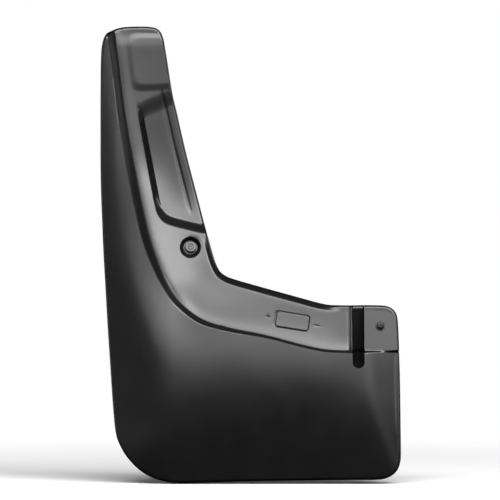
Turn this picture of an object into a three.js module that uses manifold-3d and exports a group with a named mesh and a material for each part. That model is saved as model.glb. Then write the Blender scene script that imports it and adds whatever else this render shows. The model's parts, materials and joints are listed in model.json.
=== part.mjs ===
// Moulded mud flap (left-hand), millimetres, +Z up, the visible face looks along -Y.
// One open-backed plastic moulding with a long upper arm, a recessed fixing flange, a raised panel
// and a recess on the arm, a retainer seat and a screw tab; plus the push-in retainer, the screw
// set and the foam pads. A surface "height" is measured towards the viewer, so Y = -height.
import * as THREE from 'three';
import { mergeVertices } from 'three/addons/utils/BufferGeometryUtils.js';
import Module from 'manifold-3d';

const wasm = await Module();
wasm.setup();

// ---------------------------------------------------------------- driving dimensions
const WALL = 2.8;            // moulding wall, along the surface normal
const MAX_WALL_Y = 6.5;      // limit of the wall along Y, where the surface is steep
const EDGE_R = 3.0;          // rolled outer edge radius and return-wall thickness
const RETURN_BODY = 14;      // depth of the return wall round the body
const RETURN_FLANGE = 9;     // depth of the return wall round the flange
const GAP = 0.3;             // clearance between pieces
const OUTLINE_STEP = 11;     // longest outline sampling step
const OUTLINE_MIN_STEP = 2.6; // shortest step set by curvature
const OUTLINE_TURN = 0.36;   // radians turned per step
const GRID_STEP = 15;        // interior sampling

// Round retainer seat on the knee of the flange.
const SEAT = { x: -54.0, z: 210.4, rOuter: 9.7, rFloor: 6.1, depth: 5.2 };
const RETAINER = {
  headR: 5.4, headT: 1.7, shankR: 3.2, holeR: 3.55, boreR: 1.65, length: 15,
  pinR: 1.3, pinHeadR: 2.3, pinHeadT: 1.0, barb: 0.95, socketDepth: 1.25,
};
// Flat screw tab at the outer top corner: its plane passes height at (x0, z0).
const TAB = {
  fromX: 96.5, x0: 102.2, z0: 117.4, height: -12.6, slopeX: -0.12, slopeZ: -0.25,
  screwX: 116.3, screwZ: 140.2,
};
const SCREW = { headR: 3.3, headT: 2.1, shankR: 2.0, length: 15.5, holeR: 2.6 };
const WASHER = { radius: 4.3, thickness: 0.8, boreR: 2.35 };
const NUT = {
  width: 11, length: 17, below: 0.52, above: 0.40,   // shares of length below and above the screw
  sheet: 0.8, jaw: 3.0, bendSteps: 8, barrelR: 3.5, barrelLength: 3.4, boreR: 2.35, slotExtraR: 0.6,
};
const PAD_MIN = 2.6;         // thinnest point of a foam pad
const PAD_CLEAR = 1.2;       // clearance between a pad and the faceted back of the moulding
// Foam pads: X, Z of the corners (lower left, lower right, upper right, upper left), divisions.
const FOAM_PADS = [
  { name: 'upper_tape_pad', columns: 3, rows: 4,
    corners: [[-99.5, 366], [-84.5, 367], [-87.5, 392.5], [-101.5, 391.5]] },
  { name: 'lower_tape_pad', columns: 3, rows: 9,
    corners: [[-72.8, 262], [-64.4, 262], [-79.2, 320], [-87, 320]] },
  { name: 'flange_tape_pad', columns: 6, rows: 2,
    corners: [[-4, 145], [68, 129.5], [68, 148], [-4, 164]] },
];

// Outline, anticlockwise seen from the front: X, Z.
const OUTLINE = [
  [-134.0, 389.9], [-134.6, 379], [-134.8, 350], [-134.7, 314.3], [-134.5, 281.9],
  [-134.0, 260.3], [-133.1, 238.7], [-131.7, 206.3], [-130.0, 177.5], [-127.9, 141.5],
  [-126.0, 112.7], [-124.1, 83.9], [-122.5, 62.3], [-121.2, 49.5], [-119.5, 40.7],
  [-116.5, 33.5], [-112.5, 26.3], [-106.9, 19.1], [-99.4, 11.9], [-91.0, 6.6], [-81.4, 2.7],
  [-70.6, 0.6], [-59.8, 0.0], [-38.2, 0.6], [-12, 1.4], [15.8, 2.0], [48, 2.5], [80.6, 2.9],
  [102.2, 3.0], [112.0, 3.1], [119.4, 4.0], [124.2, 5.8], [128.1, 8.4], [131.2, 12.0],
  [133.1, 16.4], [134.1, 22.0], [134.4, 30.0], [134.2, 48], [134.0, 69.5], [133.8, 91.1],
  [133.3, 112.7], [132.7, 134.3], [132.1, 145], [131.4, 149.3], [129.4, 153.2], [126.4, 156.0],
  [122.6, 157.6], [118, 158.2], [102.2, 158.5], [91.4, 158.3], [80, 158.4], [69.8, 158.9],
  [59.0, 161.2], [48.2, 164.2], [26.6, 170.1], [5.0, 176.1], [-16.6, 182.4], [-22.0, 184.6],
  [-27.2, 188.6], [-30.9, 195.5], [-34.3, 206.3], [-40.6, 227.9], [-46.3, 249.5],
  [-51.9, 271.1], [-57.5, 292.7], [-62.6, 314.3], [-66.8, 333.0], [-70.1, 346.7], [-72.5, 360],
  [-75.4, 379.1], [-77.2, 389.9], [-78.5, 397.6], [-79.9, 402.6], [-82.0, 406.6],
  [-86.0, 409.6], [-92.2, 410.8], [-98, 411], [-104, 410.9], [-112, 410.5], [-118.3, 409.6],
  [-124.6, 407.3], [-129.2, 403.5], [-132.3, 398],
];
// Parts of the outline sampled more finely: step, X range, Z range.
const FINE_ZONES = [
  [1.4, 84, 107, 150, Infinity],        // gutter mouth
  [2.4, -80, -30, 214, 242],            // lower end of the recess
  [2.4, -80, -30, 337, 361],            // upper end of the recess
  [1.2, 125, Infinity, 112.4, 122.4],   // step meets the outer side
  [2.2, -134, -117, 400, Infinity],     // step meets the top corner
  [3.8, -92, Infinity, 222, 402],       // thin rim beside the panel and recess
];

// Line of the step between the proud body and the recessed flange, from the top: X, Z.
const STEP = [
  [-127.5, 414], [-124.6, 395.3], [-122, 377.3], [-119.9, 359.3], [-118.3, 346.7],
  [-116.1, 330.3], [-112, 305.3], [-107.3, 278.3], [-101.9, 251.3], [-96.2, 226.3],
  [-92.0, 211.7], [-86.0, 196.3], [-77.8, 179.3], [-66.6, 162.3], [-54, 150.5], [-42.1, 143.3],
  [-20.2, 136.8], [14, 130.4], [48.2, 121.7], [67.1, 118.0], [89.6, 117.0], [102.2, 117.2],
  [145, 117.4],
];
// Step wall: X, half-width.
const STEP_HALF = [
  [-140, 2.9], [-122, 3.0], [-105, 3.6], [-70, 3.6], [-45, 2.6], [-20, 1.4], [20, 1.0], [145, 0.8],
];
const STEP_FILLET = { height: 1.2, reach: 3.5 };   // on the flange side of the step

// Body height on a coarse control grid: one row per x, one column per z, times BODY_SCALE.
const BODY_SCALE = 0.85;
const BODY = {
  x: [-136, -121, -106, -85, -63, -40, -10, 20, 60, 98, 136],
  z: [-5, 20, 50, 80, 100, 120, 140, 160, 190, 220, 265, 325, 415],
  heights: [
    [-25.93, -23.89, -21.71, -22.79, -23.64, -24.55, -25.54, -26.45, -27.84, -29.49, -33.12,
      -41.06, -54.75],
    [-19.75, -17.82, -16.23, -17.8, -18.75, -19.67, -20.69, -21.86, -23.7, -25.94, -29.84,
      -37.75, -53.53],
    [-14.26, -12.25, -11.21, -12.72, -13.63, -14.5, -15.88, -17.73, -21.63, -26.37, -32.87,
      -42.04, -57.6],
    [-7.8, -5.57, -4.41, -6.16, -8.16, -10.5, -14.34, -19.22, -26.8, -32.85, -40.63, -49.78, -64.99],
    [-5.18, -2.89, -1.59, -4.18, -8, -13.15, -19.44, -25.82, -34.41, -40.71, -48.42, -58, -73.53],
    [-4.7, -2.22, -0.18, -2.04, -6.23, -12.02, -18.34, -24.53, -34.46, -41.4, -50.34, -60.22, -76.05],
    [-5.18, -2.27, 0.41, -0.56, -4.1, -9.6, -15.97, -22.42, -32.32, -40.33, -49.38, -59.44, -75.48],
    [-5.48, -2.55, 0.5, 0.1, -3.28, -8.69, -14.95, -21.28, -30.32, -38.4, -48.52, -58.65, -74.8],
    [-4.97, -2.26, 0.46, -0.06, -3.01, -8.14, -14.52, -21.17, -30.36, -38.52, -48.68, -58.87, -75.06],
    [-4.06, -1.44, 0.49, -1.66, -5.51, -10.25, -15.85, -21.63, -30.4, -38.63, -48.85, -59.07, -75.29],
    [-3.3, -1.56, -0.75, -2.25, -6.02, -11.04, -16.48, -22.16, -30.45, -38.74, -49.01, -59.27, -75.52],
  ],
};
// Flange height on its own control grid, before its overall drop.
const FLANGE_DROP = 5.5;
const FLANGE = {
  x: [-136, -110, -85, -63, -40, -10, 20, 60, 98, 136],
  z: [100, 120, 140, 160, 180, 200, 225, 250, 280, 325, 370, 415],
  heights: [
    [-3.43, -5.21, -7.09, -9.13, -11.35, -15.76, -24.6, -33.16, -40.83, -48.76, -54.78, -60.51],
    [-6.38, -7.47, -9.15, -11.2, -15.4, -21.39, -30.46, -38.58, -47.28, -55.15, -61.06, -66.12],
    [-5.31, -7.33, -10.44, -14.91, -20.89, -28.38, -37.75, -45.88, -54.3, -60.85, -65.97, -70.67],
    [-8.19, -12.53, -16.68, -21.49, -26.79, -34.14, -43.17, -51.58, -58.04, -64.24, -69.34, -73.83],
    [-8.04, -13.11, -18.86, -24.76, -31.17, -37.05, -44.81, -53.19, -59.17, -64.94, -70.13, -75.1],
    [-3.98, -10.06, -16.49, -22.66, -28.84, -34.06, -41.88, -49.65, -55.95, -62.41, -68.1, -73.69],
    [-2.6, -9.47, -16.11, -22.21, -28.13, -34.19, -42.08, -49.44, -56.04, -62.63, -68.17, -73.67],
    [-4.87, -11.32, -17.8, -23.48, -28.97, -34.73, -42.57, -49.53, -55.65, -61.9, -67.18, -72.48],
    [-7.45, -13.41, -18.7, -24.24, -29.63, -35.49, -43.32, -50.13, -56, -61.95, -66.97, -72.02],
    [-9.51, -15, -20.48, -26.03, -31.61, -37.6, -45.46, -52.2, -57.9, -63.61, -68.36, -73.14],
  ],
};
// Local changes to the flange; each fades in over span from the x or z given.
const FLANGE_LEAN = { slope: 0.026, soft: 12, z0: 188, z1: 345 };   // leans back between z0 and z1
const FLANGE_RISE = { height: 3.5, x: 0, span: 60 };
const ARM_TOP_ROLL = { drop: 0.7, z: 392, span: 14 };
const FLANGE_END_ROLL = { drop: 2.2, x: 85.5, span: 6 };            // down towards the gutter

// Crease down the outer side of the body, X, Z; the surface turns away on its +X side.
const CREASE = [
  [101, 130], [104, 107.3], [107.6, 80.3], [113.5, 60], [120.2, 42], [127.4, 17.3], [131, 0],
];
const CREASE_TURN = { slope: 0.36, soft: 3.2 };
// The body turns away again close to the outer side.
const SIDE_TURN = { x: 129.9, slope: 0.62, soft: 0.9, z: 20, span: 60 };

// Areas of the arm: corner loop, wall width along each side (from corner i to i+1), and the
// depth (negative is raised) as a quadratic from z0 to z1. round sharpens the corners.
const RAISED_PANEL = {
  loop: [[-114.5, 398], [-108.5, 350.5], [-66, 353], [-74, 405], [-110.5, 405.5]],
  wall: [6.5, 7.5, 1.8, 5, 5.5],
  depth: [-0.8, 0, 0], z0: 352, z1: 400, round: 2.2,
};
const RECESS = {
  loop: [[-100.3, 341], [-81.8, 233.2], [-30, 220.7], [-56, 361]],
  wall: [4.8, 8.5, 2, 15],
  depth: [6.3, -5.7, 1.9], z0: 232, z1: 345, round: 1.5,
};
const ARM_AREAS = [RECESS, RAISED_PANEL];
// Gutter between the flange and the tab, ending in a round-bottomed notch in the body.
// Its floor has the given height at floorZ and drops by notchDrop below notchZ.
const GUTTER = {
  x0: 91.2, x1: 101.9, zBottom: 102.4, wall: 0.9, sheet: 2.3,
  floor: -31, floorZ: 117, slope: 0.08, notchDrop: 3, notchZ: 121, notchSpan: 6,
};

// ---------------------------------------------------------------- small maths
const clamp = (value, low, high) => Math.min(high, Math.max(low, value));
const smooth = (value) => {
  const t = clamp(value, 0, 1);
  return t * t * (3 - 2 * t);
};
// A ramp with a rounded start: 0 well below zero, t well above it.
const softRamp = (t) => Math.log1p(Math.exp(clamp(t, -30, 30)));
const distance = (p, q) => Math.hypot(q[0] - p[0], q[1] - p[1]);

function lerpTable(table, x) {
  if (x <= table[0][0]) return table[0][1];
  for (let i = 1; i < table.length; i++) {
    if (x > table[i][0]) continue;
    const [x0, value0] = table[i - 1];
    const [x1, value1] = table[i];
    return value0 + (value1 - value0) * (x - x0) / (x1 - x0);
  }
  return table[table.length - 1][1];
}

// Second derivatives at the knots of the natural cubic spline through the values.
function splineCurvatures(knots, values) {
  const result = new Array(knots.length).fill(0);
  const lower = [];
  const diagonal = [];
  const upper = [];
  const right = [];
  for (let i = 1; i < knots.length - 1; i++) {
    const before = knots[i] - knots[i - 1];
    const after = knots[i + 1] - knots[i];
    lower.push(before);
    diagonal.push(2 * (before + after));
    upper.push(after);
    right.push(6 * ((values[i + 1] - values[i]) / after - (values[i] - values[i - 1]) / before));
  }
  for (let i = 1; i < diagonal.length; i++) {
    const factor = lower[i] / diagonal[i - 1];
    diagonal[i] -= factor * upper[i - 1];
    right[i] -= factor * right[i - 1];
  }
  for (let i = diagonal.length - 1; i >= 0; i--) {
    result[i + 1] = (right[i] - upper[i] * result[i + 2]) / diagonal[i];
  }
  return result;
}

// Natural cubic spline weights: the value at x is the sum of weight[k] * value[k].
function splineBasis(knots) {
  const count = knots.length;
  const curvatures = knots.map((_, k) => splineCurvatures(knots, knots.map((_, i) => +(i === k))));
  return (position) => {
    const x = clamp(position, knots[0], knots[count - 1]);
    let i = 0;
    while (i < count - 2 && x > knots[i + 1]) i++;
    const span = knots[i + 1] - knots[i];
    const a = (knots[i + 1] - x) / span;
    const b = 1 - a;
    return curvatures.map((curvature, k) => {
      let weight = (a * a * a - a) * curvature[i] * span * span / 6
        + (b * b * b - b) * curvature[i + 1] * span * span / 6;
      if (k === i) weight += a;
      if (k === i + 1) weight += b;
      return weight;
    });
  };
}
function gridSurface(grid) {
  const basisX = splineBasis(grid.x);
  const basisZ = splineBasis(grid.z);
  return (x, z) => {
    const weightsX = basisX(x);
    const weightsZ = basisZ(z);
    return weightsX.reduce((sum, weight, i) => {
      const row = weightsZ.reduce((rowSum, w, j) => rowSum + w * grid.heights[i][j], 0);
      return sum + weight * row;
    }, 0);
  };
}

// Polyline of a centripetal spline through the points.
function splineLine(points, closed, perPoint) {
  const vectors = points.map(([x, z]) => new THREE.Vector3(x, 0, z));
  const curve = new THREE.CatmullRomCurve3(vectors, closed, 'centripetal');
  return curve.getPoints(points.length * perPoint).map((p) => [p.x, p.z]);
}
// Distance to a polyline, positive on the left of its direction seen from the front.
function signedDistance(line, x, z) {
  let best = Infinity;
  let sign = 1;
  for (let i = 1; i < line.length; i++) {
    const [ax, az] = line[i - 1];
    const dx = line[i][0] - ax;
    const dz = line[i][1] - az;
    const t = clamp(((x - ax) * dx + (z - az) * dz) / (dx * dx + dz * dz), 0, 1);
    const offX = x - ax - t * dx;
    const offZ = z - az - t * dz;
    const squared = offX * offX + offZ * offZ;
    if (squared < best) {
      best = squared;
      sign = dx * (z - az) - dz * (x - ax) >= 0 ? 1 : -1;
    }
  }
  return sign * Math.sqrt(best);
}
function inside(polygon, x, z) {
  let result = false;
  for (let i = 0, j = polygon.length - 1; i < polygon.length; j = i++) {
    const [xi, zi] = polygon[i];
    const [xj, zj] = polygon[j];
    if (zi > z !== zj > z && x < (xj - xi) * (z - zi) / (zj - zi) + xi) result = !result;
  }
  return result;
}

// ---------------------------------------------------------------- front and back surfaces
const bodyBase = gridSurface(BODY);
const flangeBase = gridSurface(FLANGE);
const stepLine = splineLine(STEP, false, 6);
const creaseLine = splineLine(CREASE, false, 6);

// 0 at the lip to 1 at the foot of the wall, with rounded corners.
function areaMask(area, x, z) {
  let sum = 0;
  area.loop.forEach(([ax, az], i) => {
    const [bx, bz] = area.loop[(i + 1) % area.loop.length];
    const dx = bx - ax;
    const dz = bz - az;
    const inward = (dx * (z - az) - dz * (x - ax)) / Math.hypot(dx, dz);
    sum += Math.exp(-area.round * clamp(inward / area.wall[i], -12, 12));
  });
  return smooth(-Math.log(sum) / area.round);
}
function areaDepth(area, z) {
  const t = clamp((z - area.z0) / (area.z1 - area.z0), 0, 1);
  return area.depth[0] + area.depth[1] * t + area.depth[2] * t * t;
}
function gutterMask(x, z, grow) {
  const x0 = GUTTER.x0 - grow;
  const x1 = GUTTER.x1 + grow;
  const radius = (x1 - x0) / 2;
  const centreX = (x0 + x1) / 2;
  const centreZ = GUTTER.zBottom - grow + radius;
  const inward = z < centreZ
    ? radius - Math.hypot(x - centreX, z - centreZ)
    : Math.min(x - x0, x1 - x);
  return smooth(inward / GUTTER.wall);
}
function gutterFloor(z) {
  const notch = GUTTER.notchDrop * smooth((GUTTER.notchZ - z) / GUTTER.notchSpan);
  return GUTTER.floor + GUTTER.slope * (z - GUTTER.floorZ) - notch;
}

function flangeAt(x, z) {
  const { slope, soft, z0, z1 } = FLANGE_LEAN;
  const lean = slope * soft * (softRamp((z - z0) / soft) - softRamp((z - z1) / soft));
  return flangeBase(x, z) - FLANGE_DROP - lean;
}
const tabAt = (x, z) => TAB.height + TAB.slopeZ * (z - TAB.z0) + TAB.slopeX * (x - TAB.x0);

const seatHeight = flangeAt(SEAT.x, SEAT.z);
const seatSlopeX = (flangeAt(SEAT.x + 1, SEAT.z) - flangeAt(SEAT.x - 1, SEAT.z)) / 2;
const seatSlopeZ = (flangeAt(SEAT.x, SEAT.z + 1) - flangeAt(SEAT.x, SEAT.z - 1)) / 2;
const seatFloorAt = (x, z) =>
  seatHeight + seatSlopeX * (x - SEAT.x) + seatSlopeZ * (z - SEAT.z) - SEAT.depth;

function bodyAt(x, z) {
  const crease = CREASE_TURN.slope * CREASE_TURN.soft
    * softRamp(signedDistance(creaseLine, x, z) / CREASE_TURN.soft);
  const side = SIDE_TURN.slope * SIDE_TURN.soft * softRamp((x - SIDE_TURN.x) / SIDE_TURN.soft)
    * smooth((z - SIDE_TURN.z) / SIDE_TURN.span);
  return bodyBase(x, z) * BODY_SCALE - crease - side;
}
// Flange or tab, with the seat and the arm areas; side is the distance from the step line.
function recessedAt(x, z, side, half) {
  let height = tabAt(x, z);
  if (x <= TAB.fromX) {
    const end = smooth((x - FLANGE_END_ROLL.x) / FLANGE_END_ROLL.span);
    height = flangeAt(x, z)
      + FLANGE_RISE.height * smooth((x - FLANGE_RISE.x) / FLANGE_RISE.span)
      - ARM_TOP_ROLL.drop * smooth((z - ARM_TOP_ROLL.z) / ARM_TOP_ROLL.span)
      + STEP_FILLET.height * Math.exp(-Math.max(side - half, 0) / STEP_FILLET.reach)
        * smooth((side + half) / (2 * half))
      - FLANGE_END_ROLL.drop * end * end;
  }
  const radius = Math.hypot(x - SEAT.x, z - SEAT.z);
  if (radius < SEAT.rOuter) {
    const mask = smooth((SEAT.rOuter - radius) / (SEAT.rOuter - SEAT.rFloor));
    height = height * (1 - mask) + seatFloorAt(x, z) * mask;
  }
  for (const area of ARM_AREAS) height -= areaMask(area, x, z) * areaDepth(area, z);
  return height;
}
// Height of the whole front surface; grow widens the gutter, for its outer skin.
function frontAt(x, z, grow = 0) {
  const side = signedDistance(stepLine, x, z);
  const half = lerpTable(STEP_HALF, x);
  const bodyShare = smooth((-side + half) / (2 * half));
  let height = recessedAt(x, z, side, half);
  if (bodyShare > 0) height = height * (1 - bodyShare) + bodyAt(x, z) * bodyShare;
  const mask = gutterMask(x, z, grow);
  if (mask > 0) height = Math.min(height, height * (1 - mask) + gutterFloor(z) * mask);
  return height;
}
// Length of the surface normal whose Y part is 1.
function steepness(x, z, grow = 0) {
  const e = 0.25;
  const slopeX = (frontAt(x + e, z, grow) - frontAt(x - e, z, grow)) / (2 * e);
  const slopeZ = (frontAt(x, z + e, grow) - frontAt(x, z - e, grow)) / (2 * e);
  return Math.hypot(1, slopeX, slopeZ);
}
function backY(x, z) {
  const wall = Math.min(WALL * steepness(x, z, GUTTER.sheet), MAX_WALL_Y);
  return -frontAt(x, z, GUTTER.sheet) + wall;
}

// ---------------------------------------------------------------- outline sampling
function outlineStep(before, here, after) {
  const heading = Math.atan2(here[1] - before[1], here[0] - before[0]);
  const nextHeading = Math.atan2(after[1] - here[1], after[0] - here[0]);
  let turn = Math.abs(nextHeading - heading);
  if (turn > Math.PI) turn = 2 * Math.PI - turn;
  const curvature = turn / Math.max(distance(before, after) / 2, 1e-6);
  let step = Math.min(OUTLINE_STEP, Math.max(OUTLINE_MIN_STEP, OUTLINE_TURN / curvature));
  const [x, z] = here;
  for (const [fine, x0, x1, z0, z1] of FINE_ZONES) {
    if (x > x0 && x < x1 && z > z0 && z < z1) step = Math.min(step, fine);
  }
  return step;
}
function sampleOutline() {
  const dense = splineLine(OUTLINE, true, 12).slice(0, -1);
  const count = dense.length;
  const samples = [];
  let travelled = Infinity;
  dense.forEach((point, i) => {
    const step = outlineStep(dense[(i + count - 3) % count], point, dense[(i + 3) % count]);
    if (travelled >= step) {
      samples.push(point);
      travelled = 0;
    }
    travelled += distance(point, dense[(i + 1) % count]);
  });
  return samples;
}
const outerRing = sampleOutline();
const RING_COUNT = outerRing.length;
const inwardNormals = outerRing.map((_, i) => {
  const before = outerRing[(i + RING_COUNT - 1) % RING_COUNT];
  const after = outerRing[(i + 1) % RING_COUNT];
  const length = distance(before, after);
  return [-(after[1] - before[1]) / length, (after[0] - before[0]) / length];
});
const insetRing = (inset) => outerRing.map(([x, z], i) =>
  [x + inwardNormals[i][0] * inset, z + inwardNormals[i][1] * inset]);
const innerRing = insetRing(EDGE_R);

// ---------------------------------------------------------------- Delaunay triangulation
// Bowyer-Watson, sweeping along X; a tiny shift of each point breaks ties.
function delaunay(input) {
  const points = input.map(([x, z]) => [
    x + 1e-5 * Math.sin(x * 12.9898 + z * 78.233),
    z + 1e-5 * Math.sin(x * 39.3467 + z * 11.135),
  ]);
  const count = points.length;
  const far = 5000;
  points.push([-far, -far], [far, -far], [0, far]);
  const withCircle = (...corners) => {
    const [[ax, az], [bx, bz], [cx, cz]] = corners.map((i) => points[i]);
    const d = 2 * (ax * (bz - cz) + bx * (cz - az) + cx * (az - bz));
    const a2 = ax * ax + az * az;
    const b2 = bx * bx + bz * bz;
    const c2 = cx * cx + cz * cz;
    const x = (a2 * (bz - cz) + b2 * (cz - az) + c2 * (az - bz)) / d;
    const z = (a2 * (cx - bx) + b2 * (ax - cx) + c2 * (bx - ax)) / d;
    return { corners, x, z, radius2: (ax - x) ** 2 + (az - z) ** 2 };
  };
  const order = [...Array(count).keys()].sort((i, j) => points[i][0] - points[j][0]);
  const closed = [];
  let open = [withCircle(count, count + 1, count + 2)];
  for (const i of order) {
    const [x, z] = points[i];
    const edges = new Map();
    const keep = [];
    for (const triangle of open) {
      const dx = x - triangle.x;
      if (dx > 0 && dx * dx > triangle.radius2) {
        closed.push(triangle);
      } else if (dx * dx + (z - triangle.z) ** 2 <= triangle.radius2) {
        triangle.corners.forEach((from, side) => {
          const to = triangle.corners[(side + 1) % 3];
          const key = from < to ? `${from}_${to}` : `${to}_${from}`;
          if (!edges.delete(key)) edges.set(key, [from, to]);
        });
      } else {
        keep.push(triangle);
      }
    }
    open = keep;
    for (const [from, to] of edges.values()) open.push(withCircle(from, to, i));
  }
  const real = closed.concat(open).filter(({ corners }) => corners.every((i) => i < count));
  return real.map(({ corners: [a, b, c] }) => {
    const [[ax, az], [bx, bz], [cx, cz]] = [points[a], points[b], points[c]];
    return (bx - ax) * (cz - az) - (bz - az) * (cx - ax) > 0 ? [a, b, c] : [a, c, b];
  });
}

// ---------------------------------------------------------------- interior sampling
// Points about every step along a line, each with its left normal: x, z, normalX, normalZ.
function along(line, step) {
  const result = [];
  let travelled = step;
  for (let i = 1; i < line.length; i++) {
    const [ax, az] = line[i - 1];
    const [bx, bz] = line[i];
    const length = distance(line[i - 1], line[i]);
    const pieces = Math.max(1, Math.ceil(length / 0.5));
    for (let j = 0; j < pieces; j++) {
      if (travelled >= step) {
        const x = ax + (bx - ax) * j / pieces;
        const z = az + (bz - az) * j / pieces;
        result.push([x, z, -(bz - az) / length, (bx - ax) / length]);
        travelled = 0;
      }
      travelled += length / pieces;
    }
  }
  return result;
}

// Each sampler calls add(x, z, spacing), which skips a point closer than spacing to another.
function sampleSeat(add) {
  const rings = [   // radius, number of points
    [0, 1], [SEAT.rFloor, 16], [SEAT.rOuter - 1.6, 18], [SEAT.rOuter, 18], [RETAINER.holeR + 0.9, 12],
  ];
  for (const [radius, count] of rings) {
    for (let i = 0; i < count; i++) {
      const angle = 2 * Math.PI * i / count;
      add(SEAT.x + radius * Math.cos(angle), SEAT.z + radius * Math.sin(angle), 0.8);
    }
  }
}
function sampleGutter(add) {
  const { x0, x1, zBottom, wall, sheet } = GUTTER;
  const radius = (x1 - x0) / 2;
  const centreX = (x0 + x1) / 2;
  const centreZ = zBottom + radius;
  const skinOut = sheet + 0.3;
  const skinIn = sheet - wall;
  const columns = [
    x0, x0 + wall, x1 - wall, x1, centreX, x0 - skinOut, x0 - skinIn, x1 + skinIn, x1 + skinOut,
  ];
  for (let z = 154.6; z > centreZ; z -= 4.2) {
    for (const x of columns) add(x, z, 0.7);
  }
  for (const r of [radius, radius - wall, radius + skinOut, radius + skinIn]) {
    for (let i = 0; i <= 8; i++) {
      const angle = Math.PI + Math.PI * i / 8;
      add(centreX + r * Math.cos(angle), centreZ + r * Math.sin(angle), 0.7);
    }
  }
}
function sampleStep(add) {
  for (const [x, z, normalX, normalZ] of along(stepLine, 5)) {
    const half = lerpTable(STEP_HALF, x);
    for (const k of half > 2 ? [-1, -0.35, 0.35, 1] : [-1, 1]) {
      add(x + normalX * half * k, z + normalZ * half * k, Math.min(1.5, half * 0.6));
    }
  }
}
function sampleAreaWalls(add) {
  for (const { loop, wall } of ARM_AREAS) {
    loop.forEach((a, i) => {
      const b = loop[(i + 1) % loop.length];
      const length = distance(a, b);
      const normalX = -(b[1] - a[1]) / length;
      const normalZ = (b[0] - a[0]) / length;
      const width = wall[i];
      const foot = 1 + 0.6 / width;
      const count = Math.max(1, Math.round(length / 7.5));
      for (let j = 0; j <= count; j++) {
        for (const k of width > 4 ? [0, 0.35, 0.7, foot] : [0, foot]) {
          const x = a[0] + (b[0] - a[0]) * j / count + normalX * width * k;
          const z = a[1] + (b[1] - a[1]) * j / count + normalZ * width * k;
          add(x, z, 1.4);
        }
      }
    });
  }
}
function sampleRecessFloor(add) {
  for (let z = 244; z < 342; z += 11) {
    for (const k of [-5, 3, 10]) add(-70 - (z - 262) * 0.24 + k, z, 3);
  }
}
function sampleCrease(add) {
  for (const [x, z, normalX, normalZ] of along(creaseLine, 9)) {
    for (const k of [-4, 0, 4]) add(x + normalX * k, z + normalZ * k, 3);
  }
}
function sampleTab(add) {
  for (let z = 122; z < 156; z += 8) {
    for (let x = 105; x < 130; x += 8) add(x, z, 3);
  }
}
function sampleOpenSurface(add) {
  let shifted = false;
  for (let z = 8; z < 410; z += GRID_STEP * 0.8) {
    shifted = !shifted;
    for (let x = -134 + (shifted ? GRID_STEP / 2 : 0); x < 134; x += GRID_STEP) {
      add(x, z, x < -40 && z > 180 ? 5.5 : GRID_STEP * 0.55);
    }
  }
}
function interiorPoints(ring) {
  const points = [];
  // Keep out of the circle on each ring side, so that every side stays in the triangulation.
  const clearOfRing = (x, z) => ring.every((a, i) => {
    const b = ring[(i + 1) % ring.length];
    const radius = distance(a, b) / 2;
    const fromMiddle = Math.hypot(x - (a[0] + b[0]) / 2, z - (a[1] + b[1]) / 2);
    return fromMiddle >= radius * 1.02 + 0.35;
  });
  const add = (x, z, spacing) => {
    if (points.some((p) => (p[0] - x) ** 2 + (p[1] - z) ** 2 < spacing * spacing)) return;
    if (inside(ring, x, z) && clearOfRing(x, z)) points.push([x, z]);
  };
  const samplers = [
    sampleSeat, sampleGutter, sampleStep, sampleAreaWalls, sampleRecessFloor, sampleCrease,
    sampleTab, sampleOpenSurface,
  ];
  for (const sample of samplers) sample(add);
  return points;
}

// ---------------------------------------------------------------- geometry helpers
function indexedGeometry(positions, index) {
  const geometry = new THREE.BufferGeometry();
  geometry.setAttribute('position', new THREE.Float32BufferAttribute(positions, 3));
  geometry.setIndex(index);
  return geometry;
}
function toManifold(geometry) {
  const bare = geometry.clone();
  bare.deleteAttribute('normal');
  bare.deleteAttribute('uv');
  const merged = mergeVertices(bare, 1e-4);
  const index = merged.index.array;
  const triangles = [];
  for (let i = 0; i < index.length; i += 3) {
    const [a, b, c] = index.slice(i, i + 3);
    if (a !== b && b !== c && a !== c) triangles.push(a, b, c);
  }
  return new wasm.Manifold(new wasm.Mesh({
    numProp: 3,
    vertProperties: new Float32Array(merged.attributes.position.array),
    triVerts: new Uint32Array(triangles),
  }));
}
function fromManifold(manifold) {
  const mesh = manifold.getMesh();
  return indexedGeometry(Array.from(mesh.vertProperties), Array.from(mesh.triVerts));
}

// Local frame on a surface: normal points out of the face; the matrix turns +Y to the normal.
function frameAt(x, height, z, slopeX, slopeZ) {
  const normal = new THREE.Vector3(-slopeX, -1, -slopeZ).normalize();
  const across = new THREE.Vector3(1, -slopeX, 0).normalize();
  const down = new THREE.Vector3().crossVectors(across, normal).normalize();
  const origin = new THREE.Vector3(x, -height, z);
  const matrix = new THREE.Matrix4().makeBasis(across, normal, down).setPosition(origin);
  return { origin, normal, across, up: down.clone().negate(), matrix };
}
const seatFrame = frameAt(SEAT.x, seatHeight - SEAT.depth, SEAT.z, seatSlopeX, seatSlopeZ);
const tabFrame = frameAt(
  TAB.screwX, tabAt(TAB.screwX, TAB.screwZ), TAB.screwZ, TAB.slopeX, TAB.slopeZ,
);

// Profile: radius, height along the frame's normal.
function lathe(profile, segments, frame) {
  const points = profile.map(([radius, y]) => new THREE.Vector2(radius, y));
  return new THREE.LatheGeometry(points, segments).applyMatrix4(frame.matrix);
}
function cylinder(radius, bottom, top, segments, frame) {
  const geometry = new THREE.CylinderGeometry(radius, radius, top - bottom, segments);
  geometry.translate(0, (bottom + top) / 2, 0);
  return toManifold(geometry.applyMatrix4(frame.matrix));
}

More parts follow.
